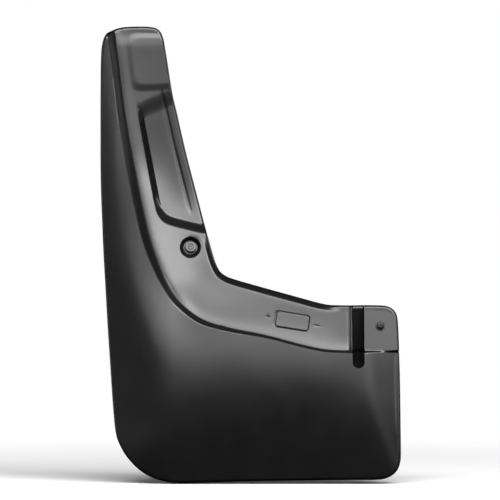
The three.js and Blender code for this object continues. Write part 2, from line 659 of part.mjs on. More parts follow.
// ---------------------------------------------------------------- the moulding
// Y of the return wall's rear rim: a smoothed upper envelope of the wanted depth round the loop.
function returnRim(edgeY) {
  const reach = 12;
  const wanted = outerRing.map(([x, z], i) =>
    edgeY[i] + (signedDistance(stepLine, x, z) > 0 ? RETURN_FLANGE : RETURN_BODY));
  const arc = [0];
  for (let i = 1; i < RING_COUNT; i++) {
    arc.push(arc[i - 1] + distance(outerRing[i - 1], outerRing[i]));
  }
  const total = arc[RING_COUNT - 1] + distance(outerRing[RING_COUNT - 1], outerRing[0]);
  const neighbours = outerRing.map((_, i) => arc.flatMap((position, index) => {
    const direct = Math.abs(arc[i] - position);
    const gap = Math.min(direct, total - direct);
    return gap < reach ? [{ index, weight: reach + 0.5 - gap }] : [];
  }));
  const envelope = neighbours.map((list) => Math.max(...list.map(({ index }) => wanted[index])));
  return neighbours.map((list, i) => {
    let sum = 0;
    let weights = 0;
    for (const { index, weight } of list) {
      sum += weight * envelope[index];
      weights += weight;
    }
    return Math.max(sum / weights, wanted[i] - 1.5);
  });
}
function buildShell() {
  const rolledEdge = [[0, 1], [0.35, 0.5], [1.1, 0.225], [EDGE_R, 0]];  // inset, setback / EDGE_R
  const positions = [];
  const index = [];
  const addVertex = (x, y, z) => positions.push(x, y, z) / 3 - 1;
  const addRing = (ring, yAt) => ring.map(([x, z], i) => addVertex(x, yAt(x, z, i), z));
  const addStrip = (from, to) => {
    for (let i = 0; i < RING_COUNT; i++) {
      const j = (i + 1) % RING_COUNT;
      index.push(from[i], to[j], to[i], from[i], from[j], to[j]);
    }
  };
  const edgeY = innerRing.map(([x, z]) => -frontAt(x, z));
  const rimY = returnRim(edgeY);

  const edgeRings = rolledEdge.map(([inset, setback]) =>
    addRing(insetRing(inset), (x, z, i) => edgeY[i] + EDGE_R * setback));
  for (let k = 0; k + 1 < edgeRings.length; k++) addStrip(edgeRings[k], edgeRings[k + 1]);
  const rimOuter = addRing(outerRing, (x, z, i) => rimY[i]);
  const rimInner = addRing(innerRing, (x, z, i) => rimY[i]);
  const backRing = addRing(innerRing, (x, z, i) => Math.min(backY(x, z), rimY[i] - 1.2));
  addStrip(rimOuter, edgeRings[0]);
  addStrip(rimInner, rimOuter);
  addStrip(backRing, rimInner);

  // Front and back skins share one triangulation.
  const interior = interiorPoints(innerRing);
  const points = innerRing.concat(interior);
  const frontIndex = edgeRings.at(-1).concat(addRing(interior, (x, z) => -frontAt(x, z)));
  const backIndex = backRing.concat(addRing(interior, backY));
  for (const [a, b, c] of delaunay(points)) {
    const middleX = (points[a][0] + points[b][0] + points[c][0]) / 3;
    const middleZ = (points[a][1] + points[b][1] + points[c][1]) / 3;
    if (!inside(innerRing, middleX, middleZ)) continue;
    index.push(frontIndex[a], frontIndex[b], frontIndex[c]);
    index.push(backIndex[a], backIndex[c], backIndex[b]);
  }
  return indexedGeometry(positions, index);
}
function buildMoulding() {
  return fromManifold(toManifold(buildShell())
    .subtract(cylinder(RETAINER.holeR, -14, 6, 24, seatFrame))
    .subtract(cylinder(SCREW.holeR, -12, 6, 20, tabFrame)));
}

// ---------------------------------------------------------------- retainer
// Heights are from the seat floor.
const retainerTop = GAP + RETAINER.headT;

function buildSleeve() {
  const { headR, shankR, boreR, length, barb } = RETAINER;
  const socketR = RETAINER.pinHeadR + 0.3;
  const socketFloor = retainerTop - RETAINER.socketDepth;
  return lathe([
    [boreR, -length + 1.5], [shankR - 0.75, -length + 0.6], [shankR - 0.35, -length + 1.0],
    [shankR + barb, -7.4], [shankR + barb, -6.6], [shankR, -5.0], [shankR, GAP],
    [headR, GAP], [headR, retainerTop - 0.7], [headR - 0.5, retainerTop - 0.1],
    [RETAINER.pinHeadR + 1.1, retainerTop], [socketR, retainerTop - 0.05],
    [socketR, socketFloor], [boreR, socketFloor], [boreR, -length + 1.5],
  ], 24, seatFrame);
}
function buildPin() {
  const { pinR, pinHeadR, length } = RETAINER;
  const headBottom = retainerTop - RETAINER.pinHeadT;
  return lathe([
    [0, -length - 0.6], [pinR - 0.6, -length - 0.5], [pinR, -length + 0.6],
    [pinR, headBottom + 0.05], [pinHeadR, headBottom + 0.1],
    [pinHeadR, retainerTop - 0.2], [pinHeadR - 0.4, retainerTop], [0, retainerTop + 0.05],
  ], 20, seatFrame);
}

// ---------------------------------------------------------------- screw set
// Heights are from the tab face.
const washerTop = GAP + WASHER.thickness;

function buildWasher() {
  const { radius, boreR } = WASHER;
  return lathe([
    [boreR, GAP], [radius, GAP], [radius, washerTop - 0.2], [radius - 0.3, washerTop],
    [boreR, washerTop], [boreR, GAP],
  ], 24, tabFrame);
}
function buildScrew() {
  const { headR, headT, shankR, length } = SCREW;
  const seat = washerTop + GAP;
  const tip = seat - length;
  return lathe([
    [0, tip], [0.7, tip + 0.1], [shankR, tip + 2.6], [shankR, seat],
    [headR, seat], [headR, seat + 0.8], [headR - 0.7, seat + 1.7], [1.6, seat + headT],
    [1.3, seat + headT - 0.05], [0.5, seat + 0.9], [0, seat + 0.8],
  ], 20, tabFrame);
}
// Clip nut: a strip folded at its top and open below, with a barrel behind.
function buildNut() {
  // depths behind the tab face
  const front = WALL + GAP;
  const frontInner = front + NUT.sheet;
  const rearInner = frontInner + NUT.jaw;
  const rear = rearInner + NUT.sheet;
  const middle = (front + rear) / 2;
  const bendR = (rear - front) / 2;
  const bottom = -NUT.length * NUT.below;
  const top = NUT.length * NUT.above;

  const shape = new THREE.Shape();      // x is up the tab, y is along its normal
  const addBend = (radius, start, turn) => {
    for (let i = 1; i <= NUT.bendSteps; i++) {
      const angle = start + turn * i / NUT.bendSteps;
      shape.lineTo(top + radius * Math.cos(angle), -middle + radius * Math.sin(angle));
    }
  };
  shape.moveTo(bottom, -front);
  shape.lineTo(top, -front);
  addBend(bendR, Math.PI / 2, -Math.PI);
  shape.lineTo(bottom + 3, -rear);
  shape.lineTo(bottom - 0.6, -rear - 1.2);
  shape.lineTo(bottom - 0.6, -rear - 0.4);
  shape.lineTo(bottom + 3.1, -rearInner);
  shape.lineTo(top, -rearInner);
  addBend(bendR - NUT.sheet, -Math.PI / 2, Math.PI);
  shape.lineTo(bottom, -frontInner);
  const strip = new THREE.ExtrudeGeometry(shape, {
    depth: NUT.width, bevelEnabled: false, curveSegments: 1,
  });
  const { origin, normal, across, up } = tabFrame;
  const corner = origin.clone().addScaledVector(across, -NUT.width / 2);
  strip.applyMatrix4(new THREE.Matrix4().makeBasis(up, normal, across).setPosition(corner));

  const barrelEnd = -rear - NUT.barrelLength;
  const slotR = NUT.boreR + NUT.slotExtraR;
  return fromManifold(toManifold(strip)
    .add(cylinder(NUT.barrelR, barrelEnd, -rearInner - 0.2, 20, tabFrame))
    .subtract(cylinder(NUT.boreR, barrelEnd - 2, -rearInner + 1, 20, tabFrame))
    .subtract(cylinder(slotR, -frontInner - 1.0, -front + 1.0, 20, tabFrame)));
}

// ---------------------------------------------------------------- foam pads
// Least-squares plane through points (x, z, y): its slopes and a function for y.
function fitPlane(points) {
  const mean = [0, 1, 2].map((k) => points.reduce((sum, p) => sum + p[k], 0) / points.length);
  let xx = 0;
  let xz = 0;
  let zz = 0;
  let xy = 0;
  let zy = 0;
  for (const point of points) {
    const [x, z, y] = point.map((value, k) => value - mean[k]);
    xx += x * x;
    xz += x * z;
    zz += z * z;
    xy += x * y;
    zy += z * y;
  }
  const determinant = xx * zz - xz * xz;
  const slopeX = (xy * zz - zy * xz) / determinant;
  const slopeZ = (zy * xx - xy * xz) / determinant;
  const yAt = (x, z) => mean[2] + slopeX * (x - mean[0]) + slopeZ * (z - mean[1]);
  return { slopeX, slopeZ, yAt };
}
// The front follows the back of the moulding; the rear face is a true plane.
function buildPad({ corners, columns, rows }) {
  const [lowerLeft, lowerRight, upperRight, upperLeft] = corners;
  const points = [];
  for (let j = 0; j <= rows; j++) {
    for (let i = 0; i <= columns; i++) {
      const a = i / columns;
      const b = j / rows;
      const [x, z] = [0, 1].map((k) => (lowerLeft[k] * (1 - a) + lowerRight[k] * a) * (1 - b)
        + (upperLeft[k] * (1 - a) + upperRight[k] * a) * b);
      points.push([x, z, backY(x, z) + PAD_CLEAR * steepness(x, z)]);
    }
  }
  // push the plane back until the pad is thick enough everywhere
  const { slopeX, slopeZ, yAt } = fitPlane(points);
  const length = Math.hypot(1, slopeX, slopeZ);
  const setback = Math.max(...points.map(([x, z, y]) => y - yAt(x, z)));
  const rearY = (x, z) => yAt(x, z) + setback + PAD_MIN * length;

  const stride = columns + 1;
  const border = [];
  for (let i = 0; i < columns; i++) border.push(i);
  for (let j = 0; j < rows; j++) border.push(j * stride + columns);
  for (let i = columns; i > 0; i--) border.push(rows * stride + i);
  for (let j = rows; j > 0; j--) border.push(j * stride);

  const positions = points.flatMap(([x, z, y]) => [x, y, z]);
  const rear = border.map((b) => {
    const [x, z] = points[b];
    return positions.push(x, rearY(x, z), z) / 3 - 1;
  });
  const [centreX, centreZ] = [0, 1].map((k) =>
    border.reduce((sum, b) => sum + points[b][k], 0) / border.length);
  const point = [centreX, rearY(centreX, centreZ), centreZ];
  const centre = positions.push(...point) / 3 - 1;

  const index = [];
  for (let j = 0; j < rows; j++) {
    for (let i = 0; i < columns; i++) {
      const a = j * stride + i;
      const c = a + stride + 1;
      index.push(a, a + 1, c, a, c, a + stride);
    }
  }
  border.forEach((here, i) => {
    const j = (i + 1) % border.length;
    index.push(here, rear[i], rear[j], here, rear[j], border[j]);
    index.push(rear[i], centre, rear[j]);
  });
  const axis = [-slopeX / length, 1 / length, -slopeZ / length];
  return { geometry: indexedGeometry(positions, index), face: { point, axis } };
}

// ---------------------------------------------------------------- materials
const material = (color, roughness, metalness = 0) =>
  new THREE.MeshStandardMaterial({ color, roughness, metalness });
const blackPlastic = (roughness) => material(0x1a1b1d, roughness);
const blackMetal = (roughness) => material(0x17181a, roughness, 0.6);
const bareMetal = () => material(0x8d8f8c, 0.4, 0.9);
const foam = () => material(0x2b2c2e, 0.95);

// ---------------------------------------------------------------- assembly
const group = new THREE.Group();
group.name = 'mud_flap';
function addMesh(name, geometry, meshMaterial) {
  const mesh = new THREE.Mesh(geometry, meshMaterial);
  mesh.name = name;
  group.add(mesh);
}
addMesh('flap_moulding', buildMoulding(), blackPlastic(0.45));
addMesh('knee_retainer_sleeve', buildSleeve(), blackPlastic(0.5));
addMesh('knee_retainer_pin', buildPin(), blackPlastic(0.5));
addMesh('tab_screw', buildScrew(), blackMetal(0.4));
addMesh('tab_washer', buildWasher(), blackMetal(0.45));
addMesh('tab_clip_nut', buildNut(), bareMetal());
const padFaces = {};
for (const pad of FOAM_PADS) {
  const { geometry, face } = buildPad(pad);
  addMesh(pad.name, geometry, foam());
  padFaces[pad.name] = face;
}

// The origin is the centre of the bottom of the whole part's box.
const { min, max } = new THREE.Box3().setFromObject(group);
const shift = new THREE.Vector3(-(min.x + max.x) / 2, -(min.y + max.y) / 2, -min.z);
for (const mesh of group.children) mesh.position.copy(shift);

// Mounting faces in the placed part: a point on each and its outward axis.
const placed = ({ point: [x, y, z], axis }) =>
  ({ point: [x + shift.x, y + shift.y, z + shift.z], axis });
const frameFace = ({ origin, normal }) =>
  placed({ point: origin.toArray(), axis: normal.toArray() });
group.userData = {
  shift: shift.toArray(),
  pads: Object.fromEntries(Object.entries(padFaces).map(([name, face]) => [name, placed(face)])),
  seat: frameFace(seatFrame),
  tab: frameFace(tabFrame),
};
export default group;
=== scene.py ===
# Mud flap: a moulded black shell with a raised flange and arm, a push-in retainer, a screwed tab
# with its clip nut, and three foam pads on the hidden side.
# The scene is in metres, +Z up; the visible face looks along -Y, so +X is to the viewer's right.
# Shapes are worked out in millimetres as heights over the x-z plane, positive towards the viewer
# (y = -height), and then moved by SHIFT into the CAD frame.
import json
import math

import bpy
import bmesh
import numpy as np
from mathutils import Matrix, Vector
from mathutils import noise as mnoise
from mathutils.geometry import delaunay_2d_cdt


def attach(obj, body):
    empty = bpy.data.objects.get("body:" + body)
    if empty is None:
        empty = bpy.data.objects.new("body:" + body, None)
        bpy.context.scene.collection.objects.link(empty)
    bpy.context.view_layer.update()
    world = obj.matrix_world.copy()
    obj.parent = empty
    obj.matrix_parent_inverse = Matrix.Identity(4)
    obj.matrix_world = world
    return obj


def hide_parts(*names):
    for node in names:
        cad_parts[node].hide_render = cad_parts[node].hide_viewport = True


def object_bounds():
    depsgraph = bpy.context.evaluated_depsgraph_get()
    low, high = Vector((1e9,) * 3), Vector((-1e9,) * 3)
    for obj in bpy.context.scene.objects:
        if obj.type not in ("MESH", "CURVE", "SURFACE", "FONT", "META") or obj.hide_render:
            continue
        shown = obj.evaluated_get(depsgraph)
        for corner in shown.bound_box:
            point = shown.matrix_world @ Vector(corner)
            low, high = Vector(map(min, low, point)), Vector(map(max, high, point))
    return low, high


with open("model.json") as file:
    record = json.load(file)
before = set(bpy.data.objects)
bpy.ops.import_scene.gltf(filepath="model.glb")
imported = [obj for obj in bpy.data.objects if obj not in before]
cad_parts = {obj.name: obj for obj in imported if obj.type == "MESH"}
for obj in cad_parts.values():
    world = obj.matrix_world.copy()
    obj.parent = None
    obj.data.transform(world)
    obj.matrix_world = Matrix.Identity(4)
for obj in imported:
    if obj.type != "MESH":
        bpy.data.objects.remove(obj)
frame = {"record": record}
CAD_LO, CAD_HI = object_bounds()
SHIFT = (0.2147674560546875, -44.10574367642403, -0.0004555553023237735)

# ------------------------------------------------------------------ dimensions (mm)
WALL, MAX_WALL = 2.8, 6.5                    # skin thickness, and its limit in Y on steep walls
EDGE_R = 3.0                                 # rounding of the outer edge, and return wall width
RETURN_BODY, RETURN_FLANGE = 14.0, 9.0       # depth of the return walls
RIM_LIP = 0.5                                # softened corners of the return walls' rim
GAP = 0.3                                    # clearance between fixings and what they sit on
FLANGE_DROP = -5.5

# round seat for the retainer
SEAT_X, SEAT_Z, SEAT_RIM_R, SEAT_FLOOR_R, SEAT_DEPTH = -54.0, 210.4, 9.7, 6.1, 5.2
# flat tab at the right: a plane through (TAB_X, TAB_Z) with its slopes, and the screw's place
TAB_X, TAB_Z, TAB_HEIGHT, TAB_SLOPE_X, TAB_SLOPE_Z = 102.2, 117.4, -12.6, -0.12, -0.25
SCREW_X, SCREW_Z = 116.3, 140.2
# deep round-bottomed gutter between the flange and the tab
GUTTER_LEFT, GUTTER_RIGHT, GUTTER_BOTTOM, GUTTER_WALL = 91.2, 101.9, 102.4, 0.9
GUTTER_FLOOR, GUTTER_SLOPE, GUTTER_NOTCH = -31.0, 0.08, 3.0
GUTTER_R, GUTTER_X = (GUTTER_RIGHT - GUTTER_LEFT) / 2, (GUTTER_RIGHT + GUTTER_LEFT) / 2
GUTTER_SHEET = 2.3                           # plastic left round the gutter
# data plate outline
PLATE_X, PLATE_Z, PLATE_W, PLATE_H, PLATE_R = 37.4, 144.2, 31.0, 14.5, 3.0
PLATE_TILT = math.radians(-9.0)
HOLE_RETAINER_R, HOLE_SCREW_R = 3.55, 2.6

# outer border (x, z), counter-clockwise seen from the front, from the top left
OUTLINE = [
    (-134.0, 389.9), (-134.6, 379), (-134.8, 350), (-134.7, 314.3), (-134.5, 281.9),
    (-134.0, 260.3), (-133.1, 238.7), (-131.7, 206.3), (-130.0, 177.5), (-127.9, 141.5),
    (-126.0, 112.7), (-124.1, 83.9), (-122.5, 62.3), (-121.2, 49.5), (-119.5, 40.7),
    (-116.5, 33.5), (-112.5, 26.3), (-106.9, 19.1), (-99.4, 11.9), (-91.0, 6.6), (-81.4, 2.7),
    (-70.6, 0.6), (-59.8, 0.0), (-38.2, 0.6), (-12, 1.4), (15.8, 2.0), (48, 2.5), (80.6, 2.9),
    (102.2, 3.0), (112.0, 3.1), (119.4, 4.0), (124.2, 5.8), (128.1, 8.4), (131.2, 12.0),
    (133.1, 16.4), (134.1, 22.0), (134.4, 30.0), (134.2, 48), (134.0, 69.5), (133.8, 91.1),
    (133.3, 112.7), (132.7, 134.3), (132.1, 145), (131.4, 149.3), (129.4, 153.2),
    (126.4, 156.0), (122.6, 157.6), (118, 158.2), (102.2, 158.5), (91.4, 158.3), (80, 158.4),
    (69.8, 158.9), (59.0, 161.2), (48.2, 164.2), (26.6, 170.1), (5.0, 176.1), (-16.6, 182.4),
    (-22.0, 184.6), (-27.2, 188.6), (-30.9, 195.5), (-34.3, 206.3), (-40.6, 227.9),
    (-46.3, 249.5), (-51.9, 271.1), (-57.5, 292.7), (-62.6, 314.3), (-66.8, 333.0),
    (-70.1, 346.7), (-72.5, 360), (-75.4, 379.1), (-77.2, 389.9), (-78.5, 397.6),
    (-79.9, 402.6), (-82.0, 406.6), (-86.0, 409.6), (-92.2, 410.8), (-98, 411), (-104, 410.9),
    (-112, 410.5), (-118.3, 409.6), (-124.6, 407.3), (-129.2, 403.5), (-132.3, 398),
]
# step between body and flange (x, z), from the top; the flange is on its left-hand side
STEP = [
    (-127.5, 414), (-124.6, 395.3), (-122, 377.3), (-119.9, 359.3), (-118.3, 346.7),
    (-116.1, 330.3), (-112, 305.3), (-107.3, 278.3), (-101.9, 251.3), (-96.2, 226.3),
    (-92.0, 211.7), (-86.0, 196.3), (-77.8, 179.3), (-66.6, 162.3), (-54, 150.5),
    (-42.1, 143.3), (-20.2, 136.8), (14, 130.4), (48.2, 121.7), (67.1, 118.0), (89.6, 117.0),
    (102.2, 117.2), (145, 117.4),
]
# half width of the step's wall (x, half width)
STEP_HALF = [(-140, 2.9), (-122, 3.0), (-105, 3.6), (-70, 3.6), (-45, 2.6), (-20, 1.4),
             (20, 1.0), (145, 0.8)]
# heights of the body: a row for each x, a column for each z, all times scale
BODY = dict(
    x=[-136, -121, -106, -85, -63, -40, -10, 20, 60, 98, 136],
    z=[-5, 20, 50, 80, 100, 120, 140, 160, 190, 220, 265, 325, 415],
    scale=0.85,
    v=[
        [-25.93, -23.89, -21.71, -22.79, -23.64, -24.55, -25.54, -26.45, -27.84, -29.49, -33.12,
         -41.06, -54.75],
        [-19.75, -17.82, -16.23, -17.8, -18.75, -19.67, -20.69, -21.86, -23.7, -25.94, -29.84,
         -37.75, -53.53],
        [-14.26, -12.25, -11.21, -12.72, -13.63, -14.5, -15.88, -17.73, -21.63, -26.37, -32.87,
         -42.04, -57.6],
        [-7.8, -5.57, -4.41, -6.16, -8.16, -10.5, -14.34, -19.22, -26.8, -32.85, -40.63,
         -49.78, -64.99],
        [-5.18, -2.89, -1.59, -4.18, -8, -13.15, -19.44, -25.82, -34.41, -40.71, -48.42,
         -58, -73.53],
        [-4.7, -2.22, -0.18, -2.04, -6.23, -12.02, -18.34, -24.53, -34.46, -41.4, -50.34,
         -60.22, -76.05],
        [-5.18, -2.27, 0.41, -0.56, -4.1, -9.6, -15.97, -22.42, -32.32, -40.33, -49.38,
         -59.44, -75.48],
        [-5.48, -2.55, 0.5, 0.1, -3.28, -8.69, -14.95, -21.28, -30.32, -38.4, -48.52,
         -58.65, -74.8],
        [-4.97, -2.26, 0.46, -0.06, -3.01, -8.14, -14.52, -21.17, -30.36, -38.52, -48.68,
         -58.87, -75.06],
        [-4.06, -1.44, 0.49, -1.66, -5.51, -10.25, -15.85, -21.63, -30.4, -38.63, -48.85,
         -59.07, -75.29],
        [-3.3, -1.56, -0.75, -2.25, -6.02, -11.04, -16.48, -22.16, -30.45, -38.74, -49.01,
         -59.27, -75.52],
    ])
# heights of the flange, in the same layout
FLANGE = dict(
    x=[-136, -110, -85, -63, -40, -10, 20, 60, 98, 136],
    z=[100, 120, 140, 160, 180, 200, 225, 250, 280, 325, 370, 415],
    scale=1.0,
    v=[
        [-3.43, -5.21, -7.09, -9.13, -11.35, -15.76, -24.6, -33.16, -40.83, -48.76, -54.78, -60.51],
        [-6.38, -7.47, -9.15, -11.2, -15.4, -21.39, -30.46, -38.58, -47.28, -55.15, -61.06, -66.12],
        [-5.31, -7.33, -10.44, -14.91, -20.89, -28.38, -37.75, -45.88, -54.3, -60.85, -65.97,
         -70.67],
        [-8.19, -12.53, -16.68, -21.49, -26.79, -34.14, -43.17, -51.58, -58.04, -64.24, -69.34,
         -73.83],
        [-8.04, -13.11, -18.86, -24.76, -31.17, -37.05, -44.81, -53.19, -59.17, -64.94, -70.13,
         -75.1],
        [-3.98, -10.06, -16.49, -22.66, -28.84, -34.06, -41.88, -49.65, -55.95, -62.41, -68.1,
         -73.69],
        [-2.6, -9.47, -16.11, -22.21, -28.13, -34.19, -42.08, -49.44, -56.04, -62.63, -68.17,
         -73.67],
        [-4.87, -11.32, -17.8, -23.48, -28.97, -34.73, -42.57, -49.53, -55.65, -61.9, -67.18,
         -72.48],
        [-7.45, -13.41, -18.7, -24.24, -29.63, -35.49, -43.32, -50.13, -56, -61.95, -66.97, -72.02],
        [-9.51, -15, -20.48, -26.03, -31.61, -37.6, -45.46, -52.2, -57.9, -63.61, -68.36, -73.14],
    ])
# crease down the right of the body (x, z); the face falls away to the right of it
CREASE = [(101, 130), (104, 107.3), (107.6, 80.3), (113.5, 60), (120.2, 42), (127.4, 17.3), (131, 0)]
CREASE_SLOPE, CREASE_SOFT = 0.36, 3.2
# pockets in the arm: corners (x, z) counter-clockwise with the first side at the left, the wall
# width of each side, and the depth as a quadratic in z from z_low to z_high
UPPER = dict(
    corners=[(-114.5, 398), (-108.5, 350.5), (-66, 353), (-74, 405), (-110.5, 405.5)],
    walls=[6.5, 7.5, 1.8, 5, 5.5], depth=(-0.8, 0, 0), z_low=352, z_high=400, rounding=2.2)
LOWER = dict(
    corners=[(-104.4, 341), (-83.1, 232.0), (-30, 219.0), (-56, 361)],
    walls=[4.8, 9.0, 2, 15], depth=(6.3, -5.7, 1.9), z_low=232, z_high=345, rounding=1.5)
# ejector marks on the hidden side (x, z)
EJECTORS = [(-105, 60), (-40, 42), (30, 40), (96, 44), (-92, 130), (-20, 108), (52, 96),
            (112, 92), (-118, 205), (-124, 262), (-126, 330)]
EJECTOR_R, EJECTOR_DEPTH = 4.05, 0.35


# ------------------------------------------------------------------ small maths, vectorised
def smooth(t):
    t = np.clip(t, 0, 1)
    return t * t * (3 - 2 * t)


def soft_ramp(d, softness):
    """0 for negative d, d for positive d, with a soft bend between."""
    return softness * np.log1p(np.exp(np.clip(d / softness, -30, 30)))


def to_metres(points):
    """Millimetres of the drawing to metres of the CAD frame."""
    return (np.array(points) + SHIFT) / 1000


def spline_basis(knots):
    """Weights of the knot values in a natural cubic spline."""
    knots = np.array(knots, float)
    n = len(knots)
    left, right = np.zeros((n, n)), np.zeros((n, n))
    left[0, 0] = left[-1, -1] = 1
    for i in range(1, n - 1):
        h0, h1 = knots[i] - knots[i - 1], knots[i + 1] - knots[i]
        left[i, i - 1:i + 2] = h0, 2 * (h0 + h1), h1
        right[i, i - 1:i + 2] = 6 / h0, -6 / h0 - 6 / h1, 6 / h1
    second = np.linalg.solve(left, right)    # second derivatives as a linear map of the values

    def basis(x):
        x = np.clip(x, knots[0], knots[-1])
        i = np.clip(np.searchsorted(knots, x, side="right") - 1, 0, n - 2)
        h = knots[i + 1] - knots[i]
        a = (knots[i + 1] - x) / h
        b = 1 - a
        weights = ((a ** 3 - a)[:, None] * second[i] * (h * h / 6)[:, None]
                   + (b ** 3 - b)[:, None] * second[i + 1] * (h * h / 6)[:, None])
        row = np.arange(len(x))
        weights[row, i] += a
        weights[row, i + 1] += b
        return weights
    return basis


def grid_surface(grid):
    basis_x, basis_z = spline_basis(grid["x"]), spline_basis(grid["z"])
    values = np.array(grid["v"], float) * grid["scale"]
    return lambda x, z: np.einsum("ni,ij,nj->n", basis_x(x), values, basis_z(z))


def catmull(points, closed, per_span):
    """Centripetal spline through the points, as a polyline."""
    pts = [np.array(p, float) for p in points]
    n = len(pts)
    out = []
    for i in range(n if closed else n - 1):
        p1, p2 = pts[i], pts[(i + 1) % n]
        p0 = pts[(i - 1) % n] if closed or i > 0 else 2 * p1 - p2
        p3 = pts[(i + 2) % n] if closed or i + 2 < n else 2 * p2 - p1
        d0, d1, d2 = (max(np.linalg.norm(b - a), 1e-9) ** 0.5
                      for a, b in ((p0, p1), (p1, p2), (p2, p3)))
        t1 = ((p1 - p0) / d0 - (p2 - p0) / (d0 + d1) + (p2 - p1) / d1) * d1
        t2 = ((p2 - p1) / d1 - (p3 - p1) / (d1 + d2) + (p3 - p2) / d2) * d1
        for k in range(per_span):
            t = k / per_span
            out.append((2 * t ** 3 - 3 * t * t + 1) * p1 + (t ** 3 - 2 * t * t + t) * t1
                       + (-2 * t ** 3 + 3 * t * t) * p2 + (t ** 3 - t * t) * t2)
    if not closed:
        out.append(pts[-1])
    return np.array(out)


def to_line(line, x, z, closed=False):
    """Signed distance to a polyline, positive on the left of its direction."""
    if closed:
        line = np.vstack([line, line[:1]])
    starts, spans = line[:-1], line[1:] - line[:-1]
    lengths2 = (spans ** 2).sum(1)
    best = np.full(len(x), np.inf)
    sign = np.ones(len(x))
    for start, span, length2 in zip(starts, spans, lengths2):
        from_x, from_z = x - start[0], z - start[1]
        t = np.clip((from_x * span[0] + from_z * span[1]) / length2, 0, 1)
        dist2 = (from_x - t * span[0]) ** 2 + (from_z - t * span[1]) ** 2
        near = dist2 < best
        best[near] = dist2[near]
        sign[near] = np.where(span[0] * from_z[near] - span[1] * from_x[near] >= 0, 1, -1)
    return sign * np.sqrt(best)


def inside(polygon, x, z):
    within = np.zeros(len(x), bool)
    for (ax, az), (bx, bz) in zip(polygon, np.roll(polygon, -1, axis=0)):
        if az == bz:
            continue
        crosses = (az > z) != (bz > z)
        within ^= crosses & (x < (bx - ax) * (z - az) / (bz - az) + ax)
    return within


# ------------------------------------------------------------------ the visible face
body_base, flange_base = grid_surface(BODY), grid_surface(FLANGE)
step_line = catmull(STEP, False, 6)
crease_line = catmull(CREASE, False, 6)
outline = catmull(OUTLINE, True, 12)


def step_half(x):
    return np.interp(x, *zip(*STEP_HALF))


def side_distance(pocket, i, x, z):
    """Distance inwards from side i of a pocket."""
    corners = pocket["corners"]
    (ax, az), (bx, bz) = corners[i], corners[(i + 1) % len(corners)]
    return ((bx - ax) * (z - az) - (bz - az) * (x - ax)) / math.hypot(bx - ax, bz - az)


def pocket_t(pocket, x, z):
    """0 at the pocket's lip, 1 at the foot of its wall, with rounded corners."""
    total = np.zeros(len(x))
    rounding = pocket["rounding"]
    for i, width in enumerate(pocket["walls"]):
        if pocket is LOWER and i == 0:       # its left wall gets narrower upwards
            width = width - 1.85 * smooth((z - 239) / 24)
        total += np.exp(-rounding * np.clip(side_distance(pocket, i, x, z) / width, -12, 12))
    return -np.log(total) / rounding


def gutter_mask(x, z, grow):
    left, right = GUTTER_LEFT - grow, GUTTER_RIGHT + grow
    radius, mid_x = (right - left) / 2, (right + left) / 2
    mid_z = GUTTER_BOTTOM - grow + radius
    d = np.where(z < mid_z, radius - np.hypot(x - mid_x, z - mid_z), np.minimum(x - left, right - x))
    return smooth(d / GUTTER_WALL)


def flange_at(x, z):
    """The flange's own surface; up the arm it leans back a little more."""
    lean = soft_ramp(z - 188, 12) - soft_ramp(z - 345, 12)
    return flange_base(x, z) + FLANGE_DROP - 0.026 * lean


def tab_at(x, z):
    return TAB_HEIGHT + TAB_SLOPE_Z * (z - TAB_Z) + TAB_SLOPE_X * (x - TAB_X)


def flange_point(x, z):
    return float(flange_at(np.array([float(x)]), np.array([float(z)]))[0])


seat_top = flange_point(SEAT_X, SEAT_Z)
seat_slope_x = (flange_point(SEAT_X + 1, SEAT_Z) - flange_point(SEAT_X - 1, SEAT_Z)) / 2
seat_slope_z = (flange_point(SEAT_X, SEAT_Z + 1) - flange_point(SEAT_X, SEAT_Z - 1)) / 2


def plate_distance(x, z):
    """Distance outside the data plate's rounded outline, and the place along its own axes."""
    u = (x - PLATE_X) * math.cos(PLATE_TILT) + (z - PLATE_Z) * math.sin(PLATE_TILT)
    v = -(x - PLATE_X) * math.sin(PLATE_TILT) + (z - PLATE_Z) * math.cos(PLATE_TILT)
    over_u = np.abs(u) - PLATE_W / 2 + PLATE_R
    over_v = np.abs(v) - PLATE_H / 2 + PLATE_R
    d = (np.hypot(np.maximum(over_u, 0), np.maximum(over_v, 0))
         + np.minimum(np.maximum(over_u, over_v), 0) - PLATE_R)
    return d, u, v


def channel_depth(x, z):
    """A soft channel at the foot of the lower pocket's left wall."""
    d = side_distance(LOWER, 0, x, z)
    across = np.clip(np.minimum((d - 0.4) / 2.576, (5.376 - d) / 2.4), 0, 1)
    return 3.4 * across * smooth((z - 236) / 22) * smooth((343 - z) / 24)


def mark_depth(x, z):
    """Fine marks: a groove inside the arm's right edge, the data plate and two marks beside it."""
    border_d = to_line(outline, x, z, True)
    depth = (0.7 * np.exp(-((border_d - 9.3) / 1.4) ** 2) * smooth((z - 238) / 8)
             * smooth((356 - z) / 12) * smooth((-30 - x) / 6) * (x > -90))
    d, u, v = plate_distance(x, z)
    half_groove = 0.7 + 0.5 * smooth((-12 - u) / 3)
    depth = depth + 0.55 * smooth(1 - np.abs(d + 0.4) / half_groove)
    for mark_u, mark_v, half_length in ((-22.0, 0.6, 3.0), (22.5, -0.4, 4.6)):
        r = np.hypot((u - mark_u) / half_length, (v - mark_v) / 0.9)
        depth = depth + 0.4 * smooth(1 - r)
    return depth


